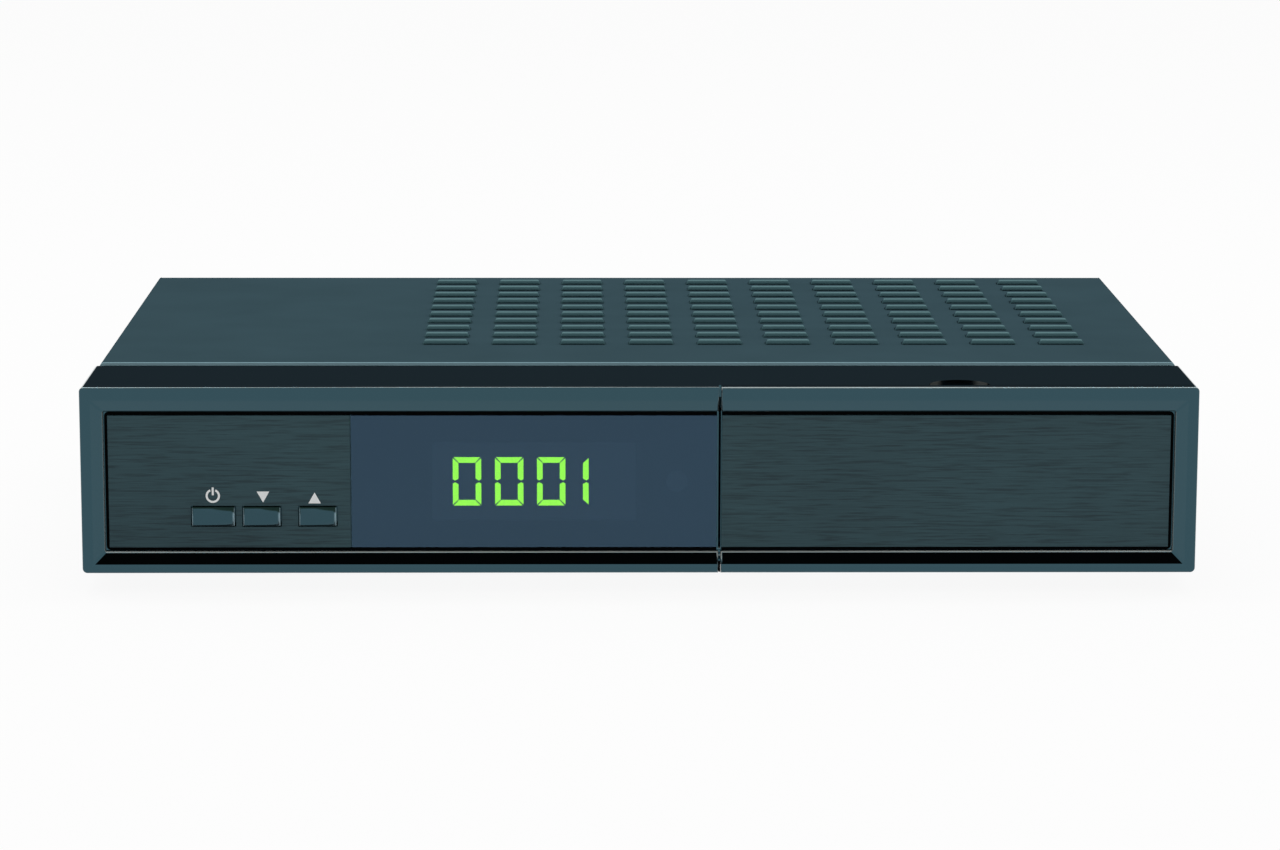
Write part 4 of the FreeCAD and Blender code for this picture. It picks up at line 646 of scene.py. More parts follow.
def lay_shadow_ring(name, node, body, closed_x, open_x, low_z, high_z):
    """One black ring of painted shadow on the ledge of the moulding or the flap."""
    outline = shadow_ring_outline(closed_x, open_x, low_z, high_z)
    side = 1 if open_x > closed_x else -1
    ledge = front_depth(node, (closed_x - side * SHADOW_RING_WIDTH / 2) * MM, (low_z + high_z) / 2 * MM)
    shadow_sheet = bmesh.new()
    front_prism(shadow_sheet, outline, ledge - SHADOW_RING_PROUD, 2 * SHADOW_RING_PROUD)
    bmesh.ops.recalc_face_normals(shadow_sheet, faces=shadow_sheet.faces)
    bmesh.ops.triangulate(shadow_sheet, faces=shadow_sheet.faces)
    add_piece(name, mesh_from(shadow_sheet, name, smooth=False), bed_foam, body)
    print(name, "lies at", round(ledge / MM, 2), "mm")


# %% Lay the two painted shadow rings
panel_low, panel_high = (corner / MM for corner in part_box("fascia_panel"))
window_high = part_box("display_window")[1] / MM
flap_low, flap_high = (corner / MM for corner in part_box("door_panel"))
lay_shadow_ring("left_bed", "front_bezel", "case", panel_low.x, window_high.x, panel_low.z, panel_high.z)
lay_shadow_ring("flap_bed", "front_door", body_of_node["front_door"], flap_high.x, flap_low.x, flap_low.z,
        flap_high.z)

# %% Paint the shade in the lower end of the split
STRIP_LEFT, STRIP_RIGHT = 19.7, 20.24
STRIP_FOOT, STRIP_TOP = 5.1, 7.8
STRIP_CHAMFER = 0.2
STRIP_FACE = cad_low.y + 0.7 * MM
STRIP_DEPTH = 0.9 * MM
# A black strip put in the split where there is only shade: painted shadow.
strip = bmesh.new()
front_prism(strip, [(STRIP_LEFT, STRIP_FOOT + STRIP_CHAMFER), (STRIP_LEFT + STRIP_CHAMFER, STRIP_FOOT),
                    (STRIP_RIGHT, STRIP_FOOT), (STRIP_RIGHT, STRIP_TOP), (STRIP_LEFT, STRIP_TOP)],
            STRIP_FACE, STRIP_DEPTH)
bmesh.ops.recalc_face_normals(strip, faces=strip.faces)
add_piece("split_foam", mesh_from(strip, "split_foam", smooth=False), bed_foam, "case")
print("strip in the split:", round(STRIP_RIGHT - STRIP_LEFT, 2), "mm wide")

# %% [markdown]
# ## Lit digits
#
# A seven-segment digit is a ring of bars whose ends are cut at 45 degrees, with a thin dark gap at each
# mitre. The display shows three noughts and a one. Each bar is a flat outline of four or five corners,
# worked out from the digit's lower left corner, so one function makes every segment.

# %% Draw the segments
DIGIT_WIDTH = 7.14
DIGIT_HEIGHT = 12.35
BAR = 1.42
SEGMENT_GAP = 0.12
DIGIT_LEFTS = (-47.03, -36.43, -25.88, -20.05)
DIGIT_BOTTOM = 21.7
SEGMENTS = {0: "abcdef", 1: "bc"}


def segment_outline(letter, left, bottom):
    """The corners of one segment of a digit."""
    right = left + DIGIT_WIDTH
    top = bottom + DIGIT_HEIGHT
    middle = (bottom + top) / 2
    gap = SEGMENT_GAP
    inner = BAR
    tip = BAR / 2
    upright = {
        "top": [(0, top - gap * 2), (0, middle + tip * 0.8), (tip * 0.8, middle + gap * 2),
                (inner, middle + tip), (inner, top - inner - gap)],
        "bottom": [(0, middle - tip * 0.8), (0, bottom + gap * 2), (inner, bottom + inner + gap),
                   (inner, middle - tip), (tip * 0.8, middle - gap * 2)],
    }
    if letter == "a":
        return [(left + gap * 2, top), (left + inner + gap, top - inner),
                (right - inner - gap, top - inner), (right - gap * 2, top)]
    if letter == "d":
        return [(left + inner + gap, bottom + inner), (left + gap * 2, bottom), (right - gap * 2, bottom),
                (right - inner - gap, bottom + inner)]
    half_name = "top" if letter in "bf" else "bottom"
    if letter in "ef":
        return [(left + x, z) for x, z in upright[half_name]]
    return [(right - x, z) for x, z in reversed(upright[half_name])]


# %% Light the digits
SHOWN = (0, 0, 0, 1)
SEGMENT_PROUD, SEGMENT_DEPTH = 0.15 * MM, 0.16 * MM
module_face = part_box("led_display")[0].y
work = bmesh.new()
for number, left in zip(SHOWN, DIGIT_LEFTS):
    for letter in SEGMENTS[number]:
        front_prism(work, segment_outline(letter, left, DIGIT_BOTTOM), module_face - SEGMENT_PROUD,
                    SEGMENT_DEPTH)
bmesh.ops.recalc_face_normals(work, faces=work.faces)
add_piece("lit_segments", mesh_from(work, "lit_segments", smooth=False), lit_green, "case")
print("lit segments:", sum(len(SEGMENTS[number]) for number in SHOWN))

# %% [markdown]
# ## Printed signs
#
# Above the keys are three signs in white ink: a power ring with its bar, a triangle down and a triangle
# up. Ink has almost no thickness, so each sign is a flat shape a fiftieth of a millimetre proud of the
# plate.

# %% Print the signs
INK = 0.02 * MM
plate_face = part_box("fascia_panel")[0].y


def ring_outline(centre_x, centre_z, outer, inner, opening, steps=28):
    """A ring with a gap at its top, as one closed outline."""
    start = math.pi / 2 + opening
    span = 2 * math.pi - 2 * opening
    turns = [start + span * index / steps for index in range(steps + 1)]
    outside = [(centre_x + outer * math.cos(turn), centre_z + outer * math.sin(turn)) for turn in turns]
    inside = [(centre_x + inner * math.cos(turn),
               centre_z + inner * math.sin(turn)) for turn in reversed(turns)]
    return outside + inside


def print_sign(name, outlines):
    """White ink on the left plate."""
    ink = bmesh.new()
    for outline in outlines:
        front_prism(ink, outline, plate_face - INK, INK)
    bmesh.ops.recalc_face_normals(ink, faces=ink.faces)
    bmesh.ops.triangulate(ink, faces=ink.faces)
    add_piece(name, mesh_from(ink, name, smooth=False), white_print, "case")


POWER_X, POWER_Z = -107.2, 24.45
print_sign("power_sign", [ring_outline(POWER_X, POWER_Z, 1.80, 1.28, 0.42),
                          [(POWER_X - 0.26, POWER_Z + 0.15), (POWER_X + 0.26, POWER_Z + 0.15),
                           (POWER_X + 0.26, POWER_Z + 2.15), (POWER_X - 0.26, POWER_Z + 2.15)]])
print_sign("down_sign", [[(-96.2, 25.55), (-94.62, 22.75), (-93.05, 25.55)]])
print_sign("up_sign", [[(-83.27, 22.5), (-80.13, 22.5), (-81.7, 25.3)]])
print("signs lie at", round((plate_face - INK) / MM, 2), "mm")

# %% [markdown]
# ## The folded cover and its louvres
#
# The cover is one steel sheet folded into a U, with a lip at the back and a hundred louvres pressed up
# out of its top. The sheet is drawn as a single surface that leaves out the slots, and a Solidify
# modifier gives it its gauge. A louvre is drawn once as a small hood, and Geometry Nodes repeat it on a
# grid with named inputs, because a pattern of equal parts is best kept as one shape and four numbers.

# %% Sizes of the cover
GAUGE = 0.8 * MM
LOUVRE_LENGTH = 12.0 * MM
LOUVRE_DEPTH = 5.0 * MM
LOUVRE_RISE = 1.3 * MM
COLUMNS, ROWS = 10, 10
COLUMN_PITCH = 18.1 * MM
ROW_PITCH = 12.1 * MM
plate_top = cover_high.z - LOUVRE_RISE
field_left = cover_low.x + 82.0 * MM
field_front = cover_low.y + 28.9 * MM
BEND = 1.2 * MM
BEND_STEPS = 6
SIDE_ROW = 15 * MM
LIP_DROP = 6.0 * MM
SLOT_SHARE = 0.8
print("top of the plate at", round(plate_top / MM, 2), "mm")


# %% Draw the cover as one surface
def bend_points(corner_x, side):
    """Points round one long fold of the cover, from the top to the side or back."""
    centre = Vector((corner_x - side * BEND, plate_top - BEND))
    return [(centre.x + side * BEND * math.sin(turn), centre.y + BEND * math.cos(turn))
            for turn in (math.pi / 2 * step / BEND_STEPS for step in range(BEND_STEPS + 1))]


def cover_surface():
    """A sheet with slots: a grid across the fold and along the depth, without its slot cells."""
    left_side = [(cover_low.x, cover_low.z), (cover_low.x, cover_low.z + SIDE_ROW)]
    right_side = [(cover_high.x, cover_low.z + SIDE_ROW), (cover_high.x, cover_low.z)]
    slot_lines = []
    for column in range(COLUMNS):
        start = field_left + column * COLUMN_PITCH
        slot_lines += [(start, plate_top), (start + LOUVRE_LENGTH, plate_top)]
    across = left_side + bend_points(cover_low.x, -1)[::-1] + slot_lines + bend_points(cover_high.x,
                                                                                       1) + right_side
    along = [cover_low.y]
    for row in range(ROWS):
        start = field_front + row * ROW_PITCH
        along += [start, start + LOUVRE_DEPTH * SLOT_SHARE]
    along.append(cover_high.y - BEND)
    sheet = bmesh.new()
    grid = [[sheet.verts.new((x, y, z)) for x, z in across] for y in along]
    first_slot = len(left_side) + BEND_STEPS + 1
    for row in range(len(along) - 1):
        for column in range(len(across) - 1):
            slot_row = row % 2 == 1 and row < 2 * ROWS
            in_field = first_slot <= column < first_slot + 2 * COLUMNS
            if slot_row and in_field and (column - first_slot) % 2 == 0:
                continue
            near, far = grid[row], grid[row + 1]
            sheet.faces.new([near[column], near[column + 1], far[column + 1], far[column]])
    add_rear_lip(sheet, grid[-1], first_slot - 1, len(across) - first_slot)
    bmesh.ops.remove_doubles(sheet, verts=sheet.verts, dist=SAME_POINT)
    bmesh.ops.recalc_face_normals(sheet, faces=sheet.faces)
    return sheet


def add_rear_lip(sheet, edge, first, last):
    """Carry the back edge of the top round a fold and down the rear; the sides run straight to the back."""
    rows = [edge[first:last + 1]]
    for step in range(1, BEND_STEPS + 1):
        turn = math.pi / 2 * step / BEND_STEPS
        drop = BEND * (1 - math.cos(turn))
        reach = BEND * math.sin(turn)
        rows.append([sheet.verts.new((vert.co.x, cover_high.y - BEND + reach, vert.co.z - drop))
                     for vert in rows[0]])
    rows.append([sheet.verts.new((vert.co.x, cover_high.y,
                                  plate_top - GAUGE - LIP_DROP)) for vert in rows[0]])
    for before, after in zip(rows, rows[1:]):
        for index in range(len(before) - 1):
            sheet.faces.new([before[index], before[index + 1], after[index + 1], after[index]])
    back = [sheet.verts.new((vert.co.x, cover_high.y, vert.co.z)) for vert in edge]
    for low, high in ((0, first - 1), (last + 1, len(edge) - 1)):
        for index in range(low, high):
            sheet.faces.new([edge[index], edge[index + 1], back[index + 1], back[index]])
    for vert in back:
        if not vert.link_faces:
            sheet.verts.remove(vert)


cover = add_piece("cover_sheet", mesh_from(cover_surface(), "cover_sheet"), cover_coat, "case")
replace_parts(cover, "top_cover")
wall = cover.modifiers.new("gauge", "SOLIDIFY")
wall.thickness = GAUGE
wall.offset = -1.0
wall.use_even_offset = True
soften(cover, 0.2, 2, 40)
print("faces in the cover:", len(cover.data.polygons))

# %% [markdown]
# ### One louvre
#
# A louvre is cut along its front edge and pushed up. Its lip turns down again to a narrow slit, and its
# other sides run down to the sheet in soft curves. A grid of points is lifted by a bump along the louvre
# and a fall across it.


# %% Draw one louvre
# The open slit under the lip, as a share of the height, and the share of the length that each end rounds.
SLIT = 0.12
END_SHARE = 0.075


def louvre_end(across):
    """How much of the full height stands at a place along the louvre: a quarter round at each end."""
    end = min(across, 1 - across) / END_SHARE
    return 1.0 if end >= 1 else math.sqrt(max(0.0, 1 - (1 - end) ** 2))


def louvre_section():
    """Depth and height of the hood, from the foot of its lip over the crest and down to the sheet."""
    crest = [(0.0, SLIT), (0.0, 0.45), (0.0, 0.72), (0.012, 0.88), (0.04, 0.97), (0.08, 1.0), (0.2, 1.0)]
    fall = [(0.2 + 0.8 * step / 6, 0.5 + 0.5 * math.cos(math.pi * step / 6)) for step in range(1, 7)]
    return crest + fall


def louvre_mesh():
    """The hood as a sheet with its corner at the origin."""
    stations = (0, 0.006, 0.018, 0.036, 0.055, 0.075, 0.5, 0.925, 0.945, 0.964, 0.982, 0.994, 1)
    hood = bmesh.new()
    rows = [[hood.verts.new((across * LOUVRE_LENGTH, depth * LOUVRE_DEPTH,
                             louvre_end(across) * height * LOUVRE_RISE)) for across in stations]
            for depth, height in louvre_section()]
    for near, far in zip(rows, rows[1:]):
        for column in range(len(stations) - 1):
            hood.faces.new([near[column], near[column + 1], far[column + 1], far[column]])
    bmesh.ops.remove_doubles(hood, verts=hood.verts, dist=2 * SAME_POINT)
    bmesh.ops.dissolve_degenerate(hood, edges=hood.edges, dist=2 * SAME_POINT)
    return mesh_from(hood, "louvre")


def draw_source(name, mesh):
    """An object that is only copied by a node tree, and is removed afterwards."""
    obj = bpy.data.objects.new(name, mesh)
    scene.collection.objects.link(obj)
    return obj


louvre = draw_source("louvre", louvre_mesh())
wall = louvre.modifiers.new("gauge", "SOLIDIFY")
wall.thickness = GAUGE * 0.4
wall.offset = -1.0
print("faces in a louvre:", len(louvre.data.polygons))


# %% [markdown]
# ### Node trees that repeat a piece
#
# One tree puts a piece on a grid. A second puts a piece on given points, turned to face a direction that
# is stored on each point. Both end by making the copies real and giving them a material.

# %% Write the node trees
def new_tree(name, inputs):
    """A geometry tree with named inputs; returns the tree, its input node, and each input's identifier."""
    tree = bpy.data.node_groups.new(name, "GeometryNodeTree")
    tree.interface.new_socket("Geometry", in_out="INPUT", socket_type="NodeSocketGeometry")
    keys = {}
    for label, kind in inputs.items():
        keys[label] = tree.interface.new_socket(label, in_out="INPUT",
                                                socket_type=f"NodeSocket{kind}").identifier
    tree.interface.new_socket("Geometry", in_out="OUTPUT", socket_type="NodeSocketGeometry")
    return tree, tree.nodes.new("NodeGroupInput"), keys


def tree_node(tree, kind, settings=None, links=None):
    """Add a node to a geometry tree, set it up and link its inputs."""
    made = tree.nodes.new(kind)
    for name, value in (settings or {}).items():
        setattr(made, name, value)
    for name, value in (links or {}).items():
        if hasattr(value, "is_output"):
            tree.links.new(value, made.inputs[name])
        else:
            made.inputs[name].default_value = value
    return made


def close_tree(tree, source, geometry):
    """Make the copies real, give them the material and end the tree."""
    real = tree_node(tree, "GeometryNodeRealizeInstances", links={0: geometry})
    dressed = tree_node(tree, "GeometryNodeSetMaterial",
                        links={0: real.outputs[0], "Material": source.outputs["Material"]})
    tree.links.new(dressed.outputs[0], tree.nodes.new("NodeGroupOutput").inputs[0])


def grid_tree():
    """Copies of an object in columns and rows from a corner."""
    tree, source, keys = new_tree("repeat_on_grid", {
        "Piece": "Object", "Columns": "Int", "Rows": "Int", "Width": "Float", "Depth": "Float",
        "Corner": "Vector",
        "Material": "Material"})
    grid = tree_node(tree, "GeometryNodeMeshGrid", links={
        "Size X": source.outputs["Width"], "Size Y": source.outputs["Depth"],
        "Vertices X": source.outputs["Columns"], "Vertices Y": source.outputs["Rows"]})
    half = tree_node(tree, "ShaderNodeCombineXYZ",
                     links={0: source.outputs["Width"], 1: source.outputs["Depth"]})
    shift = tree_node(tree, "ShaderNodeVectorMath", {"operation": "MULTIPLY_ADD"},
                      {0: half.outputs[0], 1: (0.5, 0.5, 0.5), 2: source.outputs["Corner"]})
    moved = tree_node(tree, "GeometryNodeTransform", links={"Geometry": grid.outputs["Mesh"],
                                                           "Translation": shift.outputs[0]})
    piece = tree_node(tree, "GeometryNodeObjectInfo", links={"Object": source.outputs["Piece"]})
    copies = tree_node(tree, "GeometryNodeInstanceOnPoints", links={"Points": moved.outputs[0],
                                                                    "Instance": piece.outputs["Geometry"]})
    close_tree(tree, source, copies.outputs[0])
    return tree, keys


def point_tree():
    """Copies of an object on the points of a mesh, with their Z axis along each point's facing."""
    tree, source, keys = new_tree("repeat_on_points", {"Piece": "Object", "Material": "Material"})
    facing = tree_node(tree, "GeometryNodeInputNamedAttribute", {"data_type": "FLOAT_VECTOR"},
                       {"Name": "facing"})
    turn = tree_node(tree, "FunctionNodeAlignRotationToVector", {"axis": "Z"},
                     {"Vector": facing.outputs[0]})
    piece = tree_node(tree, "GeometryNodeObjectInfo", links={"Object": source.outputs["Piece"]})
    copies = tree_node(tree, "GeometryNodeInstanceOnPoints", links={
        "Points": source.outputs["Geometry"], "Instance": piece.outputs["Geometry"],
        "Rotation": turn.outputs[0]})
    close_tree(tree, source, copies.outputs[0])
    return tree, keys


def run_tree(name, base, tree, keys, values, finish, body):
    """Evaluate a tree on a base mesh and keep the result as a plain piece."""
    carrier = draw_source(name + "_carrier", base)
    modifier = carrier.modifiers.new("copies", "NODES")
    modifier.node_group = tree
    for label, value in {**values, "Material": finish}.items():
        modifier[keys[label]] = value
    bpy.context.view_layer.update()
    evaluated = carrier.evaluated_get(bpy.context.evaluated_depsgraph_get())
    mesh = bpy.data.meshes.new_from_object(evaluated)
    mesh.name = name
    bpy.data.objects.remove(carrier)
    return add_piece(name, mesh, finish, body)


grid_nodes, grid_keys = grid_tree()
point_nodes, point_keys = point_tree()

# %% [markdown]
# ### The hundred louvres
#
# The grid tree starts from an empty mesh and makes its own points, ten by ten, so four numbers set the
# whole field.

# %% Press the louvres
louvres = run_tree("pressed_louvres", bpy.data.meshes.new("empty_base"), grid_nodes, grid_keys, {
    "Piece": louvre, "Columns": COLUMNS, "Rows": ROWS, "Width": COLUMN_PITCH * (COLUMNS - 1),
    "Depth": ROW_PITCH * (ROWS - 1), "Corner": (field_left, field_front, plate_top)},
    louvre_coat, "case")
bpy.data.objects.remove(louvre)
print("louvre faces:", len(louvres.data.polygons))

# %% [markdown]
# ## Turned parts
#
# Screws, feet, aerial sockets and phono sockets are all round. Each is a profile, a list of radii and
# heights, that is turned about an axis. Threads are drawn as close rings, which at this size look the
# same as a true helix.


# %% Turn a profile
def turn_profile(work, profile, origin, axis, steps=40):
    """Add a closed surface of revolution; the profile runs from one end on the axis to the other."""
    along = Vector(axis).normalized()
    side = along.orthogonal().normalized()
    other = along.cross(side)
    rings = []
    for radius, height in profile:
        centre = Vector(origin) + along * height * MM
        if radius < 1e-6:
            rings.append([work.verts.new(centre)])
            continue
        turns = [2 * math.pi * step / steps for step in range(steps)]
        rings.append([work.verts.new(centre + (side * math.cos(turn) + other * math.sin(turn)) * radius * MM)
                      for turn in turns])
    for before, after in zip(rings, rings[1:]):
        for step in range(steps):
            following = (step + 1) % steps
            corners = [before[step % len(before)], before[following % len(before)],
                       after[following % len(after)], after[step % len(after)]]
            unique = list(dict.fromkeys(corners))
            if len(unique) > 2:
                work.faces.new(unique)
    return rings


def turned_piece(name, parts, finish, body, steps=40, sharp=35):
    """One piece made of several turned profiles, each with its origin and axis."""
    work = bmesh.new()
    for profile, origin, axis in parts:
        turn_profile(work, profile, origin, axis, steps)
    bmesh.ops.recalc_face_normals(work, faces=work.faces)
    for edge in work.edges:
        if len(edge.link_faces) == 2 and edge.calc_face_angle(0.0) > math.radians(sharp):
            edge.smooth = False
    return add_piece(name, mesh_from(work, name), finish, body)


# %% [markdown]
# ## Screws
#
# The pan heads have a cross recess. One head is drawn with four notches pushed into a disc of fine rings,
# and the second node tree copies it to every screw of the case, turned to face outwards.

# %% Drive the screws
HEAD_RADIUS = 2.75
HEAD_HEIGHT = 1.2
ARM_HALF, ARM_DEPTH, ARM_SHARE = 0.42, 0.75, 0.5


def cross_head():
    """A pan head with a cross recess, standing on the origin along +Z."""
    head = bmesh.new()
    steps = 32
    radii = [(HEAD_RADIUS, 0.0), (HEAD_RADIUS, 0.35), (HEAD_RADIUS * 0.93, 0.8), (HEAD_RADIUS * 0.78, 1.08),
             (HEAD_RADIUS * 0.58, HEAD_HEIGHT), (HEAD_RADIUS * 0.42, HEAD_HEIGHT),
             (HEAD_RADIUS * 0.25, HEAD_HEIGHT)]
    rings = turn_profile(head, [(0.0, 0.0)] + radii + [(0.0, HEAD_HEIGHT)], (0, 0, 0), (0, 0, 1), steps)
    inner = set(rings[6]) | set(rings[7]) | set(rings[8])
    for vert in inner:
        flat = Vector((vert.co.x, vert.co.y))
        arm = min(abs(flat.x), abs(flat.y)) < ARM_HALF * MM
        if arm and flat.length < HEAD_RADIUS * ARM_SHARE * MM:
            vert.co.z -= ARM_DEPTH * MM * (1 - flat.length / (HEAD_RADIUS * MM))
    bmesh.ops.recalc_face_normals(head, faces=head.faces)
    return mesh_from(head, "cross_head")


def point_mesh(name, places):
    """A mesh of loose points that store where each copy faces."""
    mesh = bpy.data.meshes.new(name)
    mesh.from_pydata([place for place, _ in places], [], [])
    facing = mesh.attributes.new("facing", "FLOAT_VECTOR", "POINT")
    for index, (_, direction) in enumerate(places):
        facing.data[index].vector = direction
    return mesh


def solid_groups(node):
    """The boxes of the separate solids in a node."""
    work = bmesh.new()
    work.from_mesh(nodes[node].data)
    bmesh.ops.remove_doubles(work, verts=work.verts, dist=SAME_POINT)
    left = set(work.verts)
    boxes = []
    while left:
        stack = [left.pop()]
        members = []
        while stack:
            vert = stack.pop()
            members.append(vert.co.copy())
            for edge in vert.link_edges:
                other = edge.other_vert(vert)
                if other in left:
                    left.remove(other)
                    stack.append(other)
        low = Vector([min(co[axis] for co in members) for axis in range(3)])
        high = Vector([max(co[axis] for co in members) for axis in range(3)])
        boxes.append((low, high))
    work.free()
    return boxes


def screw_places(node):
    """Where each screw's head sits and which way it faces, from the screw's own box."""
    places = []
    for low, high in solid_groups(node):
        middle = (low + high) / 2
        length = high - low
        axis = max(range(3), key=lambda index: abs(length[index] - 2 * HEAD_RADIUS * MM))
        outward = (1 if middle[axis] > 0 else -1) if axis < 2 else -1
        direction = Vector((0, 0, 0))
        direction[axis] = outward
        place = middle.copy()
        place[axis] = (high[axis] if outward > 0 else low[axis]) - outward * HEAD_HEIGHT * MM
        places.append((place, direction))
    return places


head = draw_source("cross_head", cross_head())
for node in ("cover_screws", "rear_panel_screws", "bezel_screws"):
    screws = run_tree(node + "_heads", point_mesh(node + "_points", screw_places(node)), point_nodes,
                      point_keys, {"Piece": head}, dark_screw, "case")
    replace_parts(screws, node)
    print(node, "heads:", len(screws.data.polygons) // len(head.data.polygons))
bpy.data.objects.remove(head)

# %% [markdown]
# ## Feet
#
# Each foot is a rubber disc with a rounded lower rim, a hollow underneath and the head of the pin that
# holds it.

# %% Turn the feet
feet = []
for low, high in solid_groups("rubber_feet"):
    radius = (high.x - low.x) / 2 / MM
    height = (high.z - low.z) / MM
    profile = [(0, height), (radius - 0.6, height), (radius, height - 0.5), (radius, 1.4),
               (radius - 0.5, 0.4),
               (radius - 1.5, 0), (radius - 3.0, 0), (radius - 3.6, 0.6), (3.2, 0.8), (2.9, 1.8), (0, 2.0)]
    feet.append((profile, ((low.x + high.x) / 2, (low.y + high.y) / 2, low.z), (0, 0, 1)))
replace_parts(turned_piece("turned_feet", feet, soft_rubber, "case", steps=48), "rubber_feet")
print("feet:", len(feet))

# %% [markdown]
# ## Aerial sockets
#
# The two aerial sockets are threaded barrels with a small hole for the middle wire, each held by a
# hexagonal nut.

# %% Turn the aerial sockets
def thread(radius, start, end, pitch, depth):
    """Points of a threaded length: close rings that rise and fall."""
    count = int((end - start) / pitch)
    points = []
    for index in range(count):
        place = start + index * pitch
        points += [(radius - depth, place), (radius, place + pitch * 0.5)]
    return points + [(radius - depth, end)]


THREAD_LENGTH = 9.4
AERIAL_HOLE, AERIAL_HOLE_DEPTH = 1.4, 5.0
for node in ("lnb_output_socket", "lnb_input_socket"):
    low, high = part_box(node)
    radius = (high.x - low.x) / 2 / MM
    length = (high.y - low.y) / MM
    hole_foot = length - AERIAL_HOLE_DEPTH
    profile = [(0, 0), (radius, 0), (radius, length - THREAD_LENGTH - 0.1)]
    profile += thread(radius, length - THREAD_LENGTH, length - 0.7, pitch=0.8, depth=0.35)
    profile += [(radius - 0.9, length), (AERIAL_HOLE + 0.1, length), (AERIAL_HOLE, length - 0.6),
                (AERIAL_HOLE, hole_foot), (0, hole_foot)]
    origin = ((low.x + high.x) / 2, low.y, (low.z + high.z) / 2)
    socket = turned_piece(node + "_turned", [(profile, origin, (0, 1, 0))], nickel_plate, "case")
    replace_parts(socket, node)
    print(node, "is", round(length, 1), "mm long")
softened("lnb_nuts", "aerial_nuts", 0.2)

# %% [markdown]
# ## Phono sockets
#
# The block holds three nickel rings round coloured insulators: white and red for sound, orange for the
# digital one.

# %% Dress the phono sockets
softened("phono_sockets", "phono_block", 0.15)
block_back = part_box("rear_panel")[1].y
phono_mounts = {mount["name"]: Vector(mount["pos_m"]) for mount in frame["record"]["mounts"]}
PHONO_RADIUS = 4.15
PHONO_REACH = 8.4
RING_OUTSIDE, RING_BORE, RING_FOOT = PHONO_RADIUS + 0.03, PHONO_RADIUS - 0.95, PHONO_RADIUS + 0.9
PLUG_OUTSIDE, PLUG_BORE = PHONO_RADIUS - 0.97, 1.75
PLUG_TOP, PLUG_END = PHONO_REACH + 0.03, PHONO_REACH - 0.6
INSULATORS = {
    "audio_left": screen(225, 224, 218),
    "audio_right": screen(178, 30, 32),
    "digital_audio": screen(216, 108, 26),
}
for name, colour in INSULATORS.items():
    centre = phono_mounts[name]
    origin = (centre.x, block_back, centre.z)
    shell = [(RING_BORE, PHONO_REACH), (PHONO_RADIUS - 0.25, PHONO_REACH + 0.02),
             (RING_OUTSIDE, PHONO_REACH - 0.3), (RING_OUTSIDE, 0.3), (RING_FOOT, 0.3), (RING_FOOT, 0.02),
             (RING_BORE, 0.02), (RING_BORE, PHONO_REACH)]
    turned_piece(name + "_ring", [(shell, origin, (0, 1, 0))], nickel_plate, "case")
    plug = [(PLUG_BORE, PLUG_END), (PLUG_BORE, PLUG_TOP), (PHONO_RADIUS - 1.1, PLUG_TOP),
            (PLUG_OUTSIDE, PHONO_REACH - 0.1), (PLUG_OUTSIDE, PLUG_END), (PLUG_BORE, PLUG_END)]
    look = make_finish(name + "_insulator", colour, spread=0.05, roughness=0.35)
    turned_piece(name + "_insulator", [(plug, origin, (0, 1, 0))], look, "case")
print("phono sockets:", len(INSULATORS))

# %% [markdown]
# ## Sockets with square mouths, the switch and the card reader
#
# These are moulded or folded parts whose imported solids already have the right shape, so each only gets
# soft edges.

# %% Soften the square sockets
for node in ("video_socket", "network_socket", "vcr_scart_socket", "tv_scart_socket", "mains_inlet",
             "mains_switch_frame", "mains_rocker", "data_socket", "card_reader"):
    softened(node, node + "_soft", 0.15)

# %% [markdown]
# ## Contacts, pins and switch marks
#
# A socket without metal in it looks like a toy. The two 21-pin sockets get rows of sprung contacts, the
# network socket its eight gilt wires and the inlet its two pins. All rows of contacts come from the grid
# tree: one strip, a count and a pitch. The rocker carries the usual bar for on and ring for off, printed
# on its two sloping faces.

# %% Lay the rows of contacts
gilt = make_finish("gilt_contact", (0.80, 0.60, 0.25), spread=0.08, mottle=500.0, roughness=0.28,
                   metallic=1.0, grain=1200.0, lift=0.003)


def strip_mesh(width, depth, height):
    """One contact: a flat bar with its low corner at the origin."""
    bar = bmesh.new()
    made = bmesh.ops.create_cube(bar, size=1.0)
    for vert in made["verts"]:
        vert.co = Vector(((vert.co.x + 0.5) * width, (vert.co.y + 0.5) * depth,
                          (vert.co.z + 0.5) * height)) * MM
    return mesh_from(bar, "contact", smooth=False)


def contact_row(name, size, count, pitch, corner, finish):
    """A row of contacts along X."""
    strip = draw_source("contact", strip_mesh(*size))
    row = run_tree(name, bpy.data.meshes.new("empty_base"), grid_nodes, grid_keys, {
        "Piece": strip, "Columns": count, "Rows": 1, "Width": pitch * (count - 1) * MM, "Depth": 0.0,
        "Corner": corner}, finish, "case")
    bpy.data.objects.remove(strip)
    return row


CONTACTS_IN_ROW = 10
CONTACT_PITCH = 3.81
BLOCK_HEIGHT = 5.0
for node in ("vcr_scart_socket", "tv_scart_socket"):
    low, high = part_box(node)
    middle = (low + high) / 2
    left = middle.x - CONTACT_PITCH * (CONTACTS_IN_ROW - 1) / 2 * MM
    for label, height in (("upper", BLOCK_HEIGHT / 2), ("lower", -BLOCK_HEIGHT / 2 - 0.25)):
        shift = (CONTACT_PITCH / 4 if label == "upper" else -CONTACT_PITCH / 4) * MM
        corner = (left + shift - 0.9 * MM, high.y - 10.0 * MM, middle.z + height * MM)
        contact_row(f"{node}_{label}_contacts", (1.8, 8.2, 0.25), CONTACTS_IN_ROW, CONTACT_PITCH, corner,
                    nickel_plate)
openings = {entry["name"]: entry["box_m"] for entry in frame["record"]["physics"]["openings"]}
opening = openings["network_socket_mouth"]
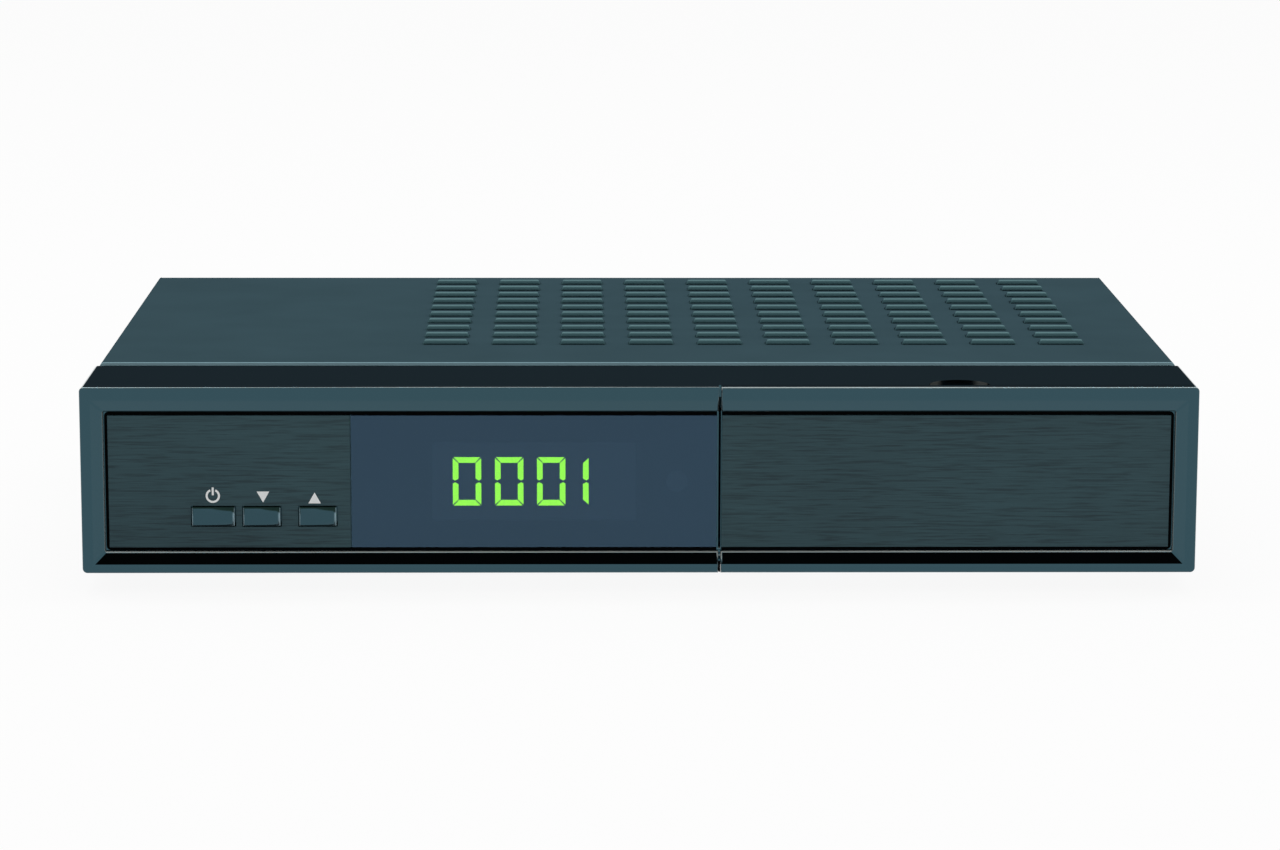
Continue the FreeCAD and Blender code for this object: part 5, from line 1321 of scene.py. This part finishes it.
WIRES, WIRE_PITCH, WIRE_WIDTH = 8, 1.02, 0.5
wires_left = (opening[0][0] + opening[1][0]) / 2 - (WIRE_PITCH * (WIRES - 1) / 2 + WIRE_WIDTH / 2) * MM
contact_row("network_contacts", (WIRE_WIDTH, 7.0, 0.2), WIRES, WIRE_PITCH,
            (wires_left, opening[1][1] - 9.0 * MM, opening[1][2] - 0.15 * MM), gilt)

# %% Sleeve the inlet pins
low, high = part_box("mains_inlet")
inlet_middle = (low + high) / 2
PIN_RADIUS, PIN_PITCH, PIN_LENGTH, RECESS = 1.2, 8.6, 9.0, 12.0
SLEEVE_WALL = 0.02
sleeve_radius, sleeve_end = PIN_RADIUS + SLEEVE_WALL, PIN_LENGTH + SLEEVE_WALL
sleeve = [(0, 0.2), (sleeve_radius, 0.2), (sleeve_radius, PIN_LENGTH - 0.6), (PIN_RADIUS * 0.6, sleeve_end),
          (0, sleeve_end)]
pin_foot = high.y - RECESS * MM
pin_places = [(inlet_middle.x + side * PIN_PITCH / 2 * MM, pin_foot, inlet_middle.z) for side in (-1, 1)]
turned_piece("inlet_pins", [(sleeve, place, (0, 1, 0)) for place in pin_places], nickel_plate, "case",
             steps=28)
print("inlet pins:", len(pin_places))

# %% Print the switch marks
ROCKER_TILT = math.radians(10)
ROCKER_DIP, ROCKER_END, ROCKER_HALF = 1.7, 3.2, 7.2
pivot = next(Vector(joint["pos_m"]) for joint in frame["record"]["behaviour"]["joints"]
             if joint["name"] == "mains_rocker_tilt")


def mark_on_rocker(name, outlines, side):
    """White ink on the upper (side 1) or lower (side -1) face of the rocker, seen from behind the case."""
    rise = Vector((0, (ROCKER_END - ROCKER_DIP), side * ROCKER_HALF)).normalized()
    outward = Vector((0, ROCKER_HALF, -side * (ROCKER_END - ROCKER_DIP))).normalized()
    centre = Vector((0, (ROCKER_END + ROCKER_DIP) / 2, side * ROCKER_HALF / 2)) * MM
    turn = Matrix.Rotation(ROCKER_TILT, 3, "X")
    ink = bmesh.new()
    for outline in outlines:
        layers = [[ink.verts.new(pivot + turn @ (centre + (Vector((x, 0,
                                                                   0)) + rise * z) * MM + outward * lift))
                   for x, z in outline] for lift in (0.0, INK)]
        ink.faces.new(layers[0])
        ink.faces.new(layers[1][::-1])
        for index in range(len(outline)):
            after = (index + 1) % len(outline)
            ink.faces.new([layers[0][after], layers[0][index], layers[1][index], layers[1][after]])
    bmesh.ops.recalc_face_normals(ink, faces=ink.faces)
    bmesh.ops.triangulate(ink, faces=ink.faces)
    add_piece(name, mesh_from(ink, name, smooth=False), white_print, "mains_switch_rocker")


mark_on_rocker("on_mark", [[(-0.25, -1.3), (0.25, -1.3), (0.25, 1.3), (-0.25, 1.3)]], 1)
mark_on_rocker("off_mark", [ring_outline(0, 0, 1.3, 0.85, 0.02)], -1)

# %% [markdown]
# ## Light
#
# The room is plain white, and every ray that the camera, a glossy face or a clear sheet sends out sees
# that same white. All other rays meet an even, weaker sky, and one long soft light overhead gives the
# rest: faces that look up are then lit a little more than upright ones, and the rounded edges catch it as
# thin bright lines.

# %% Build the room
# Outputs of the Light Path node.
CAMERA_RAY, GLOSSY_RAY, CLEAR_RAY = 0, 3, 6
SKY = 0.62


def seen_directly(finish):
    """1 for a ray from the camera, a glossy face or a clear sheet, otherwise 0."""
    camera_ray, glossy_ray, clear_ray = [finish.node("ShaderNodeLightPath", output=ray)
                                         for ray in (CAMERA_RAY, GLOSSY_RAY, CLEAR_RAY)]
    return finish.node("ShaderNodeMath", {"operation": "ADD", "use_clamp": True},
                       {0: camera_ray + clear_ray, 1: glossy_ray})


world = bpy.data.worlds.new("room")
scene.world = world
world.use_nodes = True
room = Finish(world.node_tree)
sky = blend_colours(room, seen_directly(room), (SKY, SKY, SKY), (1.0, 1.0, 1.0))
background = room.node("ShaderNodeBackground", {}, {"Color": sky, "Strength": 1.0})
room.node("ShaderNodeOutputWorld", {}, {"Surface": background})

# %% Hang the lamp
lamp = bpy.data.lights.new("overhead_softbox", "AREA")
lamp.shape = "RECTANGLE"
lamp.size = 1.6
lamp.size_y = 0.25
lamp.energy = 6.0
overhead = bpy.data.objects.new("overhead_softbox", lamp)
scene.collection.objects.link(overhead)
overhead.location = (0.0, 0.15, 1.3)
print("lamp:", lamp.energy, "W at", round(overhead.location.z, 2), "m")

# %% [markdown]
# ## Floor
#
# The floor fills the whole view, so it is the white background. Seen directly, most of it is plain white
# light, and the rest is matt paint that keeps the object's soft shadow. From below it is clear, so that
# it hides nothing.

# %% Lay the floor
FLOOR_REACH = 30.0
FLOOR_GAP = 0.0001
WHITE_SHARE = 0.92
BACK_OF_FACE = 6
ground = bmesh.new()
corners = [(-1, -1), (1, -1), (1, 1), (-1, 1)]
ground.faces.new([ground.verts.new((x * FLOOR_REACH, y * FLOOR_REACH, cad_low.z - FLOOR_GAP)) for x,
                  y in corners])
floor_mesh = mesh_from(ground, "floor", smooth=False)
floor = bpy.data.objects.new("floor", floor_mesh)
scene.collection.objects.link(floor)
floor_look = bpy.data.materials.new("pale_floor")
floor_look.use_nodes = True
paint = Finish(floor_look.node_tree)
matt = paint.node("ShaderNodeBsdfDiffuse", {}, {"Color": (0.9, 0.9, 0.9, 1.0)})
white = paint.node("ShaderNodeEmission", {}, {"Color": (1.0, 1.0, 1.0, 1.0), "Strength": 1.0})
surface = paint.node("ShaderNodeMixShader", {}, {0: seen_directly(paint) * WHITE_SHARE, 1: matt, 2: white})
clear = paint.node("ShaderNodeBsdfTransparent", {}, {})
under = paint.node("ShaderNodeNewGeometry", output=BACK_OF_FACE)
both_sides = paint.node("ShaderNodeMixShader", {}, {0: under, 1: surface, 2: clear})
paint.node("ShaderNodeOutputMaterial", {}, {"Surface": both_sides})
floor_mesh.materials.append(floor_look)
print("floor at", round((cad_low.z - FLOOR_GAP) / MM, 2), "mm")
